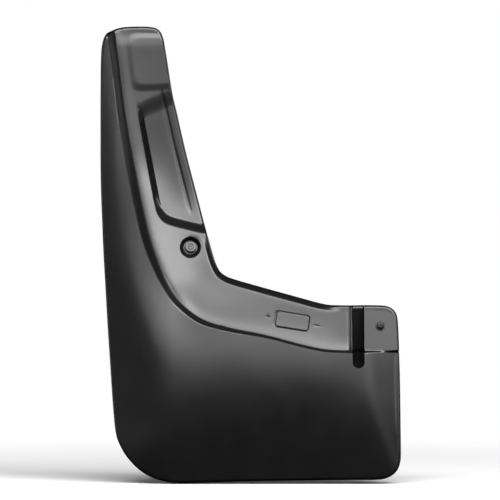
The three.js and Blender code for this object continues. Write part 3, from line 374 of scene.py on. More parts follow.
def flange_face(x, z, step, half, marks):
    """Flange, arm and tab with all that is sunk into them."""
    f = flange_at(x, z) + 3.5 * smooth(x / 60) - 0.7 * smooth((z - 392) / 14)
    fillet = np.exp(-np.maximum(step - half, 0) / 3.5)               # above the step
    f = f + 1.2 * fillet * smooth((step + half) / (2 * half))
    end = smooth((x - 85.5) / 6)                                     # falls towards the gutter
    f = np.where(x > 96.5, tab_at(x, z), f - 2.2 * end * end)

    r = np.hypot(x - SEAT_X, z - SEAT_Z)
    in_seat = smooth((SEAT_RIM_R - r) / (SEAT_RIM_R - SEAT_FLOOR_R))
    seat_floor = (seat_top + seat_slope_x * (x - SEAT_X) + seat_slope_z * (z - SEAT_Z)
                  - SEAT_DEPTH)
    f = f * (1 - in_seat) + seat_floor * in_seat
    for pocket in (UPPER, LOWER):
        t = np.clip((z - pocket["z_low"]) / (pocket["z_high"] - pocket["z_low"]), 0, 1)
        c0, c1, c2 = pocket["depth"]
        f = f - smooth(pocket_t(pocket, x, z)) * (c0 + c1 * t + c2 * t * t)
    f = f - channel_depth(x, z)
    return f - mark_depth(x, z) if marks else f


def body_face(x, z):
    crease = to_line(crease_line, x, z)
    b = body_base(x, z) - CREASE_SLOPE * soft_ramp(crease, CREASE_SOFT)
    return b - 0.62 * soft_ramp(x - 129.9, 0.9) * smooth((z - 20) / 60)      # eased right edge


def front(x, z, grow=0.0, marks=True):
    """Height of the visible face; grow widens the gutter, marks=False leaves out the fine marks."""
    step = to_line(step_line, x, z)
    half = step_half(x)
    to_body = smooth((-step + half) / (2 * half))
    h = flange_face(x, z, step, half, marks) * (1 - to_body) + body_face(x, z) * to_body
    in_gutter = gutter_mask(x, z, grow)
    floor = (GUTTER_FLOOR + GUTTER_SLOPE * (z - 117)
             - GUTTER_NOTCH * smooth((121 - z) / 6))                 # deeper at the lower end
    sunk = np.minimum(h, h * (1 - in_gutter) + floor * in_gutter)
    return np.where(in_gutter > 0, sunk, h)


def offset_face(x, z):
    """The face that the hidden skin is offset from."""
    return front(x, z, GUTTER_SHEET, False)


def hidden_y(height, x, z):
    """y of the hidden side of a height function, one wall thickness behind it."""
    e = 0.25
    slope_x = (height(x + e, z) - height(x - e, z)) / (2 * e)
    slope_z = (height(x, z + e) - height(x, z - e)) / (2 * e)
    thick = WALL * np.sqrt(1 + slope_x * slope_x + slope_z * slope_z)
    return -height(x, z) + np.minimum(thick, MAX_WALL)


# ------------------------------------------------------------------ the border, resampled
# areas with their own spacing (x from, x to, z from, z to, spacing)
BORDER_SPACING = [
    (86, 106, 150, math.inf, 0.5), (125, math.inf, 113.4, 121.4, 0.5),
    (-131, -118, 398, math.inf, 1.0), (-80, -30, 214, 242, 1.2), (-80, -30, 337, 361, 1.2)]


def sample_outline():
    """The outline with points set closer on tight curves and beside details."""
    n = len(outline)
    lengths = np.linalg.norm(np.roll(outline, -1, axis=0) - outline, axis=1)
    out, since = [], 1e9
    for i in range(n):
        a, b, c = outline[(i - 3) % n], outline[i], outline[(i + 3) % n]
        turn = abs(math.atan2(c[1] - b[1], c[0] - b[0]) - math.atan2(b[1] - a[1], b[0] - a[0]))
        turn = min(turn, 2 * math.pi - turn)
        curvature = turn / max(np.linalg.norm(c - a) / 2, 1e-6)
        spacing = min(2.6, max(0.9, 0.10 / max(curvature, 1e-6)))
        for x0, x1, z0, z1, local in BORDER_SPACING:
            if x0 < b[0] < x1 and z0 < b[1] < z1:
                spacing = local
        parts = max(1, int(math.ceil(lengths[i] / 0.25)))
        for j in range(parts):
            if since >= spacing:
                out.append(b + (outline[(i + 1) % n] - b) * j / parts)
                since = 0
            since += lengths[i] / parts
    return np.array(out)


border = sample_outline()
BORDER_N = len(border)
tangent = np.roll(border, -1, axis=0) - np.roll(border, 1, axis=0)
tangent /= np.linalg.norm(tangent, axis=1)[:, None]
inward = np.stack([-tangent[:, 1], tangent[:, 0]], 1)
inner_border = border + inward * EDGE_R


def edge_bevel(x, z):
    """Share of bevel on the flange's edge, 0 to 1: full from the knee to mid-flange."""
    step = to_line(step_line, x, z)
    share = smooth((84 - x) / 30) * smooth((224 - z) / 20) * smooth((x + 58) / 14)
    return np.where((step > 0) & (x < 96), share, 0.0)


def quarter_round(d, radius):
    """Drop of a rounded edge at distance d inside it."""
    t = np.clip(d / radius, 0, 1)
    return radius * (1 - np.sqrt(np.clip(1 - (1 - t) ** 2, 0, 1)))


def roll(x, z, d=None):
    """Drop of the face towards the border, d inside it."""
    if d is None:
        d = np.maximum(to_line(outline, x, z, True), 0)
    return quarter_round(d, EDGE_R) + 1.25 * soft_ramp(4.9 - d, 0.35) * edge_bevel(x, z)


# ------------------------------------------------------------------ points of the face's mesh
class Cloud:
    """Points with a local spacing, thinned as they are added."""
    CELL = 1.5

    def __init__(self):
        self.cells, self.points = {}, []

    def is_free(self, x, z, cell, spacing):
        reach = int(math.ceil(spacing / self.CELL))
        for i in range(cell[0] - reach, cell[0] + reach + 1):
            for j in range(cell[1] - reach, cell[1] + reach + 1):
                for px, pz in self.cells.get((i, j), ()):
                    if (px - x) ** 2 + (pz - z) ** 2 < spacing * spacing:
                        return False
        return True

    def add(self, points, spacing):
        for x, z in np.asarray(points, float):
            cell = (int(math.floor(x / self.CELL)), int(math.floor(z / self.CELL)))
            if self.is_free(x, z, cell, spacing):
                self.cells.setdefault(cell, []).append((x, z))
                self.points.append((x, z))


def along(line, pitch):
    """Evenly spaced points along a polyline, and the normals to its left."""
    lengths = np.linalg.norm(np.diff(line, axis=0), axis=1)
    s = np.concatenate([[0], np.cumsum(lengths)])
    q = np.arange(pitch / 2, s[-1], pitch)
    x, z = np.interp(q, s, line[:, 0]), np.interp(q, s, line[:, 1])
    dx = np.interp(q + 0.05, s, line[:, 0]) - x
    dz = np.interp(q + 0.05, s, line[:, 1]) - z
    length = np.hypot(dx, dz)
    length[length == 0] = 1
    return np.stack([x, z], 1), np.stack([-dz / length, dx / length], 1)


def column(x, zs):
    return np.stack([np.full(len(zs), x), zs], 1)


def arc(x, z, r, angles):
    return np.stack([x + r * np.cos(angles), z + r * np.sin(angles)], 1)


def circle(x, z, r, pitch):
    k = max(1, int(2 * math.pi * r / pitch))
    return arc(x, z, r, np.arange(k) * 2 * math.pi / k)


def add_gutter_points(cloud):
    mid_z = GUTTER_BOTTOM + GUTTER_R
    zs = np.arange(mid_z, 156.0, 1.3)
    outer = [-GUTTER_SHEET + d for d in (-0.6, -0.28, 0, 0.25, 0.5, 0.75, 1.0)]
    # insets from the gutter's lip, spans of the round bottom, spacing
    for insets, spans, spacing in (
            ((-0.7, -0.02, 0.22, 0.45, 0.68, 0.92, 1.6, 3.2), 14, 0.18), (outer, 18, 0.2)):
        angles = math.pi + np.arange(0, 1.0001, 1 / spans) * math.pi
        for inset in insets:
            cloud.add(column(GUTTER_LEFT + inset, zs), spacing)
            cloud.add(column(GUTTER_RIGHT - inset, zs), spacing)
            cloud.add(arc(GUTTER_X, mid_z, GUTTER_R - inset, angles), spacing)
    cloud.add(column(GUTTER_X, zs), 0.4)


def add_step_points(cloud):
    points, normals = along(step_line, 1.5)
    half = step_half(points[:, 0])
    # rows across the wall, in half widths: more of them where it is wide
    wide_rows = (-1.25, -1.0, -0.8, -0.6, -0.4, -0.2, 0, 0.2, 0.4, 0.6, 0.8, 1.0, 1.25)
    narrow_rows = (-1.7, -1.02, -0.5, 0, 0.5, 1.02, 1.7)
    for rows, is_wide in ((wide_rows, True), (narrow_rows, False)):
        m = (half > 1.8) == is_wide
        for k in rows:
            cloud.add(points[m] + normals[m] * (half[m] * k)[:, None], 0.3)


def add_pocket_points(cloud):
    # corners, evenly sampled: pocket, corner, radius
    for pocket, i, r in ((LOWER, 1, 16), (LOWER, 0, 16), (UPPER, 1, 12), (UPPER, 0, 10),
                         (UPPER, 4, 10)):
        corner_x, corner_z = pocket["corners"][i]
        x, z = np.meshgrid(np.arange(-r, r + 0.1, 0.8), np.arange(-r, r + 0.1, 0.8))
        x, z = x.ravel() + corner_x, z.ravel() + corner_z
        t = pocket_t(pocket, x, z)
        m = (np.hypot(x - corner_x, z - corner_z) < r) & (t > -0.15) & (t < 1.2)
        cloud.add(np.stack([x[m], z[m]], 1), 0.62)
    # rows along the walls, in wall widths
    wide_rows = (-0.12, 0.0, 0.12, 0.25, 0.38, 0.5, 0.62, 0.75, 0.88, 1.0, 1.12)
    narrow_rows = (-0.3, 0.0, 0.25, 0.5, 0.75, 1.0, 1.3)
    for pocket in (UPPER, LOWER):
        corners = np.array(pocket["corners"], float)
        for i, width in enumerate(pocket["walls"]):
            start = corners[i]
            span = corners[(i + 1) % len(corners)] - start
            length = np.linalg.norm(span)
            normal = np.array([-span[1], span[0]]) / length
            side = start + span * (np.arange(0, length, 1.6) / length)[:, None]
            if pocket is LOWER and i == 0:   # the channel
                for d in (5.8, 6.3, 6.8, 7.4, 8.1, 9.0):
                    cloud.add(side + normal * d, 0.4)
            for k in wide_rows if width > 4 else narrow_rows:
                cloud.add(side + normal * width * k, 0.4)


def add_plate_points(cloud):
    reach = PLATE_H / 2 + 1.4
    u, v = np.meshgrid(np.arange(-30, 30.01, 0.45), np.arange(-reach, reach + 0.01, 0.45))
    u, v = u.ravel(), v.ravel()
    x = PLATE_X + u * math.cos(PLATE_TILT) - v * math.sin(PLATE_TILT)
    z = PLATE_Z + u * math.sin(PLATE_TILT) + v * math.cos(PLATE_TILT)
    d, _, _ = plate_distance(x, z)
    m = (np.abs(d + 0.4) < 1.5) | ((np.abs(v) < 1.8) & (np.abs(u) < 29))
    cloud.add(np.stack([x[m], z[m]], 1), 0.3)


def add_edge_points(cloud):
    for d in (6.6, 7.4, 8.0, 8.6, 9.3, 10.0, 10.8, 11.6, 12.4):      # groove by the arm's edge
        p = border + inward * d
        x, z = p.T
        cloud.add(p[(z > 234) & (z < 358) & (x > -92) & (x < -30)], 0.4)
    points, normals = along(crease_line, 3.0)
    for k in (-6, -3, 0, 3, 6):
        cloud.add(points + normals * k, 1.6)
    for d in (3.6, 4.2, 4.7, 5.1, 5.6, 6.3):                         # foot of the flange's bevel
        p = border + inward * d
        cloud.add(p[edge_bevel(p[:, 0], p[:, 1]) > 0.02], 0.45)
    for x in (128.6, 129.3, 129.9, 130.5):                           # eased right edge
        cloud.add(column(x, np.arange(18, 146, 1.8)), 0.4)
    for x in (85.0, 86.2, 87.4, 88.4, 89.3, 90.0, 90.6):             # end of the flange
        cloud.add(column(x, np.arange(118.5, 156, 1.6)), 0.4)


def add_fill_points(cloud):
    """A triangular lattice over all that is left."""
    pitch = 3.0
    rows = []
    for i, z in enumerate(np.arange(3, 411, pitch * 0.86)):
        xs = np.arange(-134 + (pitch / 2 if i % 2 == 0 else 0), 134, pitch)
        rows.append(column(z, xs)[:, ::-1])
    p = np.vstack(rows)
    cloud.add(p[inside(inner_border, p[:, 0], p[:, 1])], pitch * 0.62)


def interior_points():
    cloud = Cloud()
    for r in np.concatenate([np.arange(0.0, 5.9, 1.0), np.arange(5.9, 10.4, 0.45)]):
        cloud.add(circle(SEAT_X, SEAT_Z, r, 1.1), 0.35)
    add_gutter_points(cloud)
    for x, z in EJECTORS:
        for r in (2.0, 3.55, 3.8, EJECTOR_R, 4.3):
            cloud.add(circle(x, z, r, 0.8), 0.2)
    add_step_points(cloud)
    add_pocket_points(cloud)
    add_plate_points(cloud)
    add_edge_points(cloud)
    add_fill_points(cloud)
    p = np.array(cloud.points)
    p = p[inside(inner_border, p[:, 0], p[:, 1])]
    # keep clear of the border loop, in proportion to its own spacing
    lengths = np.linalg.norm(np.roll(inner_border, -1, axis=0) - inner_border, axis=1)
    keep = np.ones(len(p), bool)
    for (x, z), length in zip(inner_border, lengths):
        keep &= (p[:, 0] - x) ** 2 + (p[:, 1] - z) ** 2 > (0.45 * min(length, 1.6)) ** 2
    return p[keep]


# ------------------------------------------------------------------ the moulding's mesh
def triangulate(points):
    """Triangles inside the inner border, which is the first BORDER_N points."""
    edges = [(i, (i + 1) % BORDER_N) for i in range(BORDER_N)]
    _, _, faces, origins, _, _ = delaunay_2d_cdt(
        [Vector(p) for p in points.tolist()], edges, [], 1, 1e-6, True)
    source = np.array([o[0] if o else -1 for o in origins])
    assert (source >= 0).all(), "the border loop met a point"
    faces = np.array([[source[i] for i in f] for f in faces])
    centres = points[faces].mean(1)
    faces = faces[inside(inner_border, centres[:, 0], centres[:, 1])]
    a, b, c = (points[faces[:, k]] for k in range(3))
    flip = ((b[:, 0] - a[:, 0]) * (c[:, 1] - a[:, 1])
            - (b[:, 1] - a[:, 1]) * (c[:, 0] - a[:, 0])) < 0
    faces[flip] = faces[flip][:, [0, 2, 1]]
    return faces


def rim_y(edge_height):
    """y of the return walls' rim: evened out along the border, where the depth jumps too."""
    step = to_line(step_line, border[:, 0], border[:, 1])
    raw = -edge_height + np.where(step > 0, RETURN_FLANGE, RETURN_BODY)
    s = np.concatenate([[0], np.cumsum(np.linalg.norm(np.diff(border, axis=0), axis=1))])
    total = s[-1] + np.linalg.norm(border[0] - border[-1])
    dist = np.abs(s[:, None] - s[None])
    dist = np.minimum(dist, total - dist)
    highest = np.where(dist < 12, raw[None], -np.inf).max(1)
    weight = np.clip(12.5 - dist, 0, None) * (dist < 12)
    return np.maximum((weight * highest[None]).sum(1) / weight.sum(1), raw - 1.5)


def build_moulding():
    edge_x, edge_z = inner_border.T
    edge_height = front(edge_x, edge_z)
    points = np.vstack([inner_border, interior_points()])
    triangles = triangulate(points)
    x, z = points[:, 0], points[:, 1]
    face_y = -(front(x, z) - roll(x, z))
    back_y = hidden_y(lambda x, z: offset_face(x, z) - roll(x, z), x, z)
    for mark_x, mark_z in EJECTORS:
        r = np.hypot(x - mark_x, z - mark_z)
        back_y = back_y - EJECTOR_DEPTH * smooth((EJECTOR_R - r) / 0.25)
    rim = rim_y(edge_height)
    back_y[:BORDER_N] = np.minimum(back_y[:BORDER_N], rim - 1.2)

    verts, faces = [], []

    def add(xs, ys, zs):
        start = len(verts)
        verts.extend(np.stack([xs, ys, zs], 1).tolist())
        return np.arange(start, len(verts))

    def add_loop(inset, y):
        p = border + inward * inset
        return add(p[:, 0], y, p[:, 1])

    rolled = [add_loop(d, -edge_height + roll(edge_x, edge_z, np.full(BORDER_N, d)))
              for d in (0.0, 0.1, 0.3, 0.6, 1.0, 1.5, 2.2, EDGE_R)]
    # round the return wall's rim, from the outer side to the inner one
    wall = [add_loop(0.0, rim - RIM_LIP), add_loop(RIM_LIP, rim),
            add_loop(EDGE_R - RIM_LIP, rim), add_loop(EDGE_R, rim - RIM_LIP)]
    front_ids = np.concatenate(
        [rolled[-1], add(x[BORDER_N:], face_y[BORDER_N:], z[BORDER_N:])])
    back_ids = add(x, back_y, z)

    wall_pairs = zip(wall + [back_ids[:BORDER_N]], [rolled[0]] + wall)
    for loop_a, loop_b in [*zip(rolled[:-1], rolled[1:]), *wall_pairs]:
        for i in range(BORDER_N):
            j = (i + 1) % BORDER_N
            faces.append((int(loop_a[i]), int(loop_a[j]), int(loop_b[j]), int(loop_b[i])))
    faces.extend([tuple(int(front_ids[i]) for i in t) for t in triangles])
    faces.extend([(int(back_ids[a]), int(back_ids[c]), int(back_ids[b])) for a, b, c in triangles])
    verts = np.clip(to_metres(verts), np.array(CAD_LO), np.array(CAD_HI))
    mesh = bpy.data.meshes.new("moulding")
    mesh.from_pydata(verts.tolist(), [], faces)
    mesh.validate()
    mesh.update()
    return mesh


# ------------------------------------------------------------------ materials
def new_material(name):
    material = bpy.data.materials.new(name)
    material.use_nodes = True
    tree = material.node_tree
    tree.nodes.clear()
    output = tree.nodes.new("ShaderNodeOutputMaterial")
    shader = tree.nodes.new("ShaderNodeBsdfPrincipled")
    tree.links.new(shader.outputs[0], output.inputs[0])
    return material, tree, shader


def add_node(tree, kind, **values):
    """A node with input values, or settings where there is no such input."""
    node = tree.nodes.new(kind)
    for key, value in values.items():
        if key in node.inputs:
            node.inputs[key].default_value = value
        else:
            setattr(node, key, value)
    return node


def object_coords(tree):
    return add_node(tree, "ShaderNodeTexCoord").outputs["Object"]


def texture(tree, vector, kind, **values):
    node = add_node(tree, "ShaderNodeTex" + kind, **values)
    tree.links.new(vector, node.inputs["Vector"])
    return node.outputs[0]


def color_ramp(tree, source, positions, colors):
    node = add_node(tree, "ShaderNodeValToRGB")
    for element, position, color in zip(node.color_ramp.elements, positions, colors):
        element.position = position
        element.color = (*color, 1)
    tree.links.new(source, node.inputs[0])
    return node.outputs[0]


def map_range(tree, source, from_range=(0, 1), to_range=(0, 1)):
    node = add_node(tree, "ShaderNodeMapRange")
    for side, limits in (("From", from_range), ("To", to_range)):
        node.inputs[side + " Min"].default_value = limits[0]
        node.inputs[side + " Max"].default_value = limits[1]
    tree.links.new(source, node.inputs["Value"])
    return node.outputs[0]


def calculate(tree, operation, *terms):
    node = add_node(tree, "ShaderNodeMath", operation=operation)
    for socket, term in zip(node.inputs, terms):
        if isinstance(term, float):
            socket.default_value = term
        else:
            tree.links.new(term, socket)
    return node.outputs[0]


def add_bump(tree, shader, height, strength, distance):
    node = add_node(tree, "ShaderNodeBump", Strength=strength, Distance=distance)
    tree.links.new(height, node.inputs["Height"])
    tree.links.new(node.outputs[0], shader.inputs["Normal"])


def add_scuffs(tree, place, roughness):
    """Hairlines: a stretched noise, only where a broad mask lets it through."""
    stretch = add_node(tree, "ShaderNodeMapping", Rotation=(0.3, 0.5, 0.9), Scale=(1400, 45, 45))
    tree.links.new(place, stretch.inputs["Vector"])
    hairs = texture(tree, stretch.outputs[0], "Noise", Scale=1.0, Detail=1.0)
    mask = texture(tree, place, "Noise", Scale=22.0, Detail=2.0)
    hairs = map_range(tree, hairs, from_range=(0.68, 0.74))
    mask = map_range(tree, mask, from_range=(0.56, 0.66))
    scuffs = calculate(tree, "MULTIPLY", hairs, mask)
    return calculate(tree, "MULTIPLY_ADD", scuffs, 0.10, roughness)


def plastic(name, base=0.0055, rough=0.27, scale=1.0, scuffs=True):
    """Moulded black plastic: fine spark-eroded grain, slow gloss variation, dust and hairlines."""
    material, tree, shader = new_material(name)
    place = object_coords(tree)
    broad = texture(tree, place, "Noise", Scale=14.0 * scale, Detail=3.0, Roughness=0.5)
    fine = texture(tree, place, "Noise", Scale=900.0 * scale, Detail=2.0, Roughness=0.6)
    spark = texture(tree, place, "Voronoi", Scale=1500.0 * scale)
    # near black, very slightly cooler, and lighter where it is dusty
    dust = texture(tree, place, "Noise", Scale=60.0 * scale, Detail=6.0, Roughness=0.72)
    color = color_ramp(tree, dust, positions=(0.42, 0.78), colors=(
        (base, base * 1.02, base * 1.06), (base * 1.5, base * 1.52, base * 1.55)))
    tree.links.new(color, shader.inputs["Base Color"])
    roughness = map_range(tree, broad, to_range=(rough - 0.03, rough + 0.045))
    roughness = calculate(tree, "MULTIPLY_ADD", fine, 0.05, roughness)
    if scuffs:
        roughness = add_scuffs(tree, place, roughness)
    tree.links.new(roughness, shader.inputs["Roughness"])
    grain = calculate(tree, "ADD", fine, spark)
    add_bump(tree, shader, grain, strength=0.35, distance=0.00002)
    shader.inputs["IOR"].default_value = 1.5
    return material


def metal(name, color, rough, metallic, scale):
    material, tree, shader = new_material(name)
    place = object_coords(tree)
    mottle = texture(tree, place, "Noise", Scale=400.0 * scale, Detail=4.0)
    grain = texture(tree, place, "Noise", Scale=2500.0 * scale, Detail=2.0)
    tint = color_ramp(tree, mottle, positions=(0.3, 0.75),
                      colors=(tuple(c * 0.78 for c in color), color))
    tree.links.new(tint, shader.inputs["Base Color"])
    roughness = map_range(tree, mottle, to_range=(rough - 0.08, rough + 0.12))
    tree.links.new(roughness, shader.inputs["Roughness"])
    shader.inputs["Metallic"].default_value = metallic
    add_bump(tree, shader, grain, strength=0.3, distance=0.00002)
    return material


def foam(name):
    """Dark open-celled foam."""
    material, tree, shader = new_material(name)
    place = object_coords(tree)
    cells = texture(tree, place, "Voronoi", Scale=1600.0)
    lumps = texture(tree, place, "Noise", Scale=260.0, Detail=4.0)
    color = color_ramp(tree, cells, positions=(0.1, 0.6),
                       colors=((0.018, 0.018, 0.019), (0.050, 0.050, 0.052)))
    tree.links.new(color, shader.inputs["Base Color"])
    shader.inputs["Roughness"].default_value = 0.9
    relief = calculate(tree, "ADD", cells, lumps)
    add_bump(tree, shader, relief, strength=0.8, distance=0.0002)
    return material


# by slot name
MATERIALS = {
    "moulded_black": plastic("moulded_black"),
    "retainer_black": plastic("retainer_black", base=0.008, rough=0.28, scale=2.0, scuffs=False),
    "black_steel": metal("black_steel", color=(0.035, 0.035, 0.037), rough=0.42, metallic=0.6,
                         scale=2.0),
    "zinc_steel": metal("zinc_steel", color=(0.62, 0.62, 0.58), rough=0.36, metallic=1.0,
                        scale=1.0),
    "foam_black": foam("foam_black"),
}


# ------------------------------------------------------------------ objects and meshes
def link(name, mesh, material):
    obj = bpy.data.objects.new(name, mesh)
    bpy.context.scene.collection.objects.link(obj)
    mesh.materials.append(material)
    return obj


def finish(obj, cad, slot, body="flap", angle=38):
    """Shade smooth, sharp above angle degrees, hang the object on its body and hide the CAD part it
    stands in for.
    """
    mesh = obj.data
    mesh.polygons.foreach_set("use_smooth", [True] * len(mesh.polygons))
    if angle is not None:
        mesh.set_sharp_from_angle(angle=math.radians(angle))
    mesh.update()
    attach(obj, body)
    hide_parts(cad)


def piece(cad, mesh, slot, **options):
    finish(link(f"{cad}_visual", mesh, MATERIALS[slot]), cad, slot, **options)


def close_bmesh(bm, mesh):
    """Write a closed shape to the mesh with its normals outwards."""
    bmesh.ops.recalc_face_normals(bm, faces=bm.faces[:])
    bm.to_mesh(mesh)
    bm.free()
    return mesh


def solid_mesh(name, verts, faces):
    mesh = bpy.data.meshes.new(name)
    mesh.from_pydata(verts, [], faces)
    bm = bmesh.new()
    bm.from_mesh(mesh)
    return close_bmesh(bm, mesh)


def soften(profile, r, steps=3, closed=True):
    """Round a profile's corners."""
    out, n = [], len(profile)
    points = [np.array(p, float) for p in profile]
    for i in range(n):
        if not closed and i in (0, n - 1):
            out.append(tuple(points[i]))
            continue
        a, b, c = points[i - 1], points[i], points[(i + 1) % n]
        before, after = np.linalg.norm(a - b), np.linalg.norm(c - b)
        reach = min(r, 0.42 * before, 0.42 * after)
        start, end = b + (a - b) / before * reach, b + (c - b) / after * reach
        for j in range(steps + 1):
            t = j / steps
            out.append(tuple(start * (1 - t) ** 2 + b * 2 * t * (1 - t) + end * t * t))
    return out


def rows_mesh(name, rows, matrix, closed):
    """A mesh from rings of points in a local frame (mm, axis along y).

    A one-point ring closes an end; closed joins the last ring to the first.
    """
    verts, faces, first = [], [], []
    for row in rows:
        first.append(len(verts))
        verts.extend(row)
    n_rows = len(rows)
    for a in range(n_rows if closed else n_rows - 1):
        b = (a + 1) % n_rows
        n_a, n_b = len(rows[a]), len(rows[b])
        for j in range(max(n_a, n_b)):
            p, q = first[a] + j % n_a, first[a] + (j + 1) % n_a
            s, t = first[b] + j % n_b, first[b] + (j + 1) % n_b
            if n_a == 1:
                faces.append((p, t, s))
            elif n_b == 1:
                faces.append((p, q, s))
            else:
                faces.append((p, q, t, s))
    verts = [tuple(matrix @ Vector((x / 1000, y / 1000, z / 1000))) for x, y, z in verts]
    return solid_mesh(name, verts, faces)


def ring(r, y, segments):
    if r <= 1e-6:
        return [(0.0, y, 0.0)]
    return [(r * math.cos(2 * math.pi * i / segments), y, r * math.sin(2 * math.pi * i / segments))
            for i in range(segments)]


def turned(name, profile, segments, matrix, closed):
    """A profile (radius, y) turned round the local y axis."""
    return rows_mesh(name, [ring(r, y, segments) for r, y in profile], matrix, closed)


def box_mesh(name, lo, hi, matrix):
    bm = bmesh.new()
    bmesh.ops.create_cube(bm, size=1.0)
    for v in bm.verts:
        p = [lo[i] + (v.co[i] + 0.5) * (hi[i] - lo[i]) for i in range(3)]
        v.co = matrix @ Vector([q / 1000 for q in p])
    return close_bmesh(bm, bpy.data.meshes.new(name))


def modify(obj, kind, **settings):
    """Run a modifier and keep its result."""
    modifier = obj.modifiers.new("m", kind)
    for key, value in settings.items():
        setattr(modifier, key, value)
    depsgraph = bpy.context.evaluated_depsgraph_get()
    mesh = bpy.data.meshes.new_from_object(obj.evaluated_get(depsgraph))
    obj.modifiers.clear()
    old = obj.data
    obj.data = mesh
    bpy.data.meshes.remove(old)


def cut(obj, mesh, operation="DIFFERENCE"):
    cutter = bpy.data.objects.new("cutter", mesh)
    bpy.context.scene.collection.objects.link(cutter)
    modify(obj, "BOOLEAN", operation=operation, solver="EXACT", object=cutter)
    bpy.data.objects.remove(cutter)
    bpy.data.meshes.remove(mesh)


# ------------------------------------------------------------------ frames on seat and tab
def axes_matrix(x_axis, y_axis, z_axis, origin):
    matrix = Matrix((x_axis, y_axis, z_axis)).transposed().to_4x4()
    matrix.translation = origin
    return matrix


def frame_at(x, h, z, slope_x, slope_z):
    """Outward normal, and a frame with its y axis along it, on a sloping face."""
    normal = Vector((-slope_x, -1, -slope_z)).normalized()
    across = Vector((1, -slope_x, 0)).normalized()
    return normal, axes_matrix(across, normal, across.cross(normal), to_metres((x, -h, z)))


_, seat_frame = frame_at(SEAT_X, seat_top - SEAT_DEPTH, SEAT_Z, seat_slope_x, seat_slope_z)
tab_normal, tab_frame = frame_at(
    SCREW_X, tab_at(SCREW_X, SCREW_Z), SCREW_Z, TAB_SLOPE_X, TAB_SLOPE_Z)


# ------------------------------------------------------------------ the shell
def sharpen_edges(obj, angle, among=None):
    """Mark edges sharper than angle (radians) as sharp, if both ends pass the test among."""
    bm = bmesh.new()
    bm.from_mesh(obj.data)
    for e in bm.edges:
        if among is None or all(among(v.co) for v in e.verts):
            if len(e.link_faces) == 2 and e.calc_face_angle(0) > angle:
                e.smooth = False
    bm.to_mesh(obj.data)
    bm.free()


def cut_hole(obj, matrix, r, y_low):
    """A hole along the frame's y axis, with crisp rims."""
    top = 5
    profile = [(0, y_low), (r, y_low), (r, top), (0, top)]
    cut(obj, turned("cutter", profile, 48, matrix, False))
    inverse = matrix.inverted()

    def on_hole(co):
        p = inverse @ co
        return abs(math.hypot(p.x, p.z) * 1000 - r) < 0.02 and abs(p.y) < 0.012
    sharpen_edges(obj, 0.6, on_hole)


flap = link("flap_shell", build_moulding(), MATERIALS["moulded_black"])
finish(flap, "flap_moulding", "moulded_black", angle=None)
cut_hole(flap, seat_frame, HOLE_RETAINER_R, y_low=-14)
cut_hole(flap, tab_frame, HOLE_SCREW_R, y_low=-12)
sharpen_edges(flap, 0.87)                    # the fold between return walls and hidden skin

# ------------------------------------------------------------------ retainer, y from seat floor
HEAD_R, HEAD_THICK, SHANK_R, BORE_R, SLEEVE_LENGTH = 5.4, 1.7, 3.2, 1.65, 15.0
PIN_R, PIN_HEAD_R, PIN_HEAD_THICK = 1.3, 2.3, 1.0
HEAD_TOP = GAP + HEAD_THICK


def add_retainer_sleeve():
    """A domed head and a barbed shank, slit crosswise into four legs."""
    end, recess_r, barb_r = -SLEEVE_LENGTH, PIN_HEAD_R + 0.22, SHANK_R + 0.95
    profile = [
        (BORE_R, end + 1.5), (SHANK_R - 0.75, end + 0.6), (SHANK_R - 0.35, end + 1.0),
        (SHANK_R + 0.2, -10.6), (barb_r, -7.4), (barb_r, -6.6), (SHANK_R, -5.0), (SHANK_R, GAP),
        (HEAD_R, GAP), (HEAD_R, HEAD_TOP - 0.75), (HEAD_R - 0.45, HEAD_TOP - 0.09),
        (PIN_HEAD_R + 1.3, HEAD_TOP), (recess_r, HEAD_TOP - 0.04), (recess_r, HEAD_TOP - 1.25),
        (BORE_R, HEAD_TOP - 1.25)]
    mesh = turned("sleeve", soften(profile, 0.3), 96, seat_frame, True)
    sleeve = link("knee_retainer_sleeve_visual", mesh, MATERIALS["retainer_black"])
    for half_x, half_z in ((6, 0.5), (0.5, 6)):
        lo, hi = (-half_x, end - 1, -half_z), (half_x, -3.6, half_z)
        cut(sleeve, box_mesh("cutter", lo, hi, seat_frame))
    finish(sleeve, "knee_retainer_sleeve", "retainer_black")


def cross_rows(radius, n_rows, segments, arm, half_width, height):
    """Rings closing in on a head's middle; height(r, cut) has cut 1 inside a cross, 0 outside."""
    rows = []
    for k in range(n_rows):
        r = radius * (1 - k / n_rows)
        row = []
        for x, _, z in ring(r, 0, segments):
            d = min(max(abs(x) - arm, abs(z) - half_width), max(abs(z) - arm, abs(x) - half_width))
            row.append((x, height(r, float(smooth(-d / 0.2))), z))
        rows.append(row)
    return rows


def add_retainer_pin():
    """A plain pin with a waist and a crowned head with a shallow cross slot."""
    segments, crown, slot_depth = 96, 0.04, 0.14
    profile = [
        (0, -SLEEVE_LENGTH - 0.6), (PIN_R - 0.6, -SLEEVE_LENGTH - 0.5),
        (PIN_R, -SLEEVE_LENGTH + 0.6), (PIN_R, -9.2), (PIN_R - 0.18, -8.9), (PIN_R - 0.18, -8.2),
        (PIN_R, -7.9), (PIN_R, HEAD_TOP - PIN_HEAD_THICK + 0.05),
        (PIN_HEAD_R, HEAD_TOP - PIN_HEAD_THICK + 0.1), (PIN_HEAD_R, HEAD_TOP - 0.12)]
    rows = [ring(r, y, segments) for r, y in soften(profile, 0.12, closed=False)]

    def height(r, cut_share):
        return HEAD_TOP + crown * (1 - (r / PIN_HEAD_R) ** 2) - slot_depth * cut_share
    rows += cross_rows(PIN_HEAD_R - 0.1, 24, segments, arm=1.35, half_width=0.26, height=height)
    rows.append([(0.0, HEAD_TOP + crown - slot_depth, 0.0)])
    piece("knee_retainer_pin", rows_mesh("pin", rows, seat_frame, False), "retainer_black",
          body="retainer_pin")


add_retainer_sleeve()
add_retainer_pin()

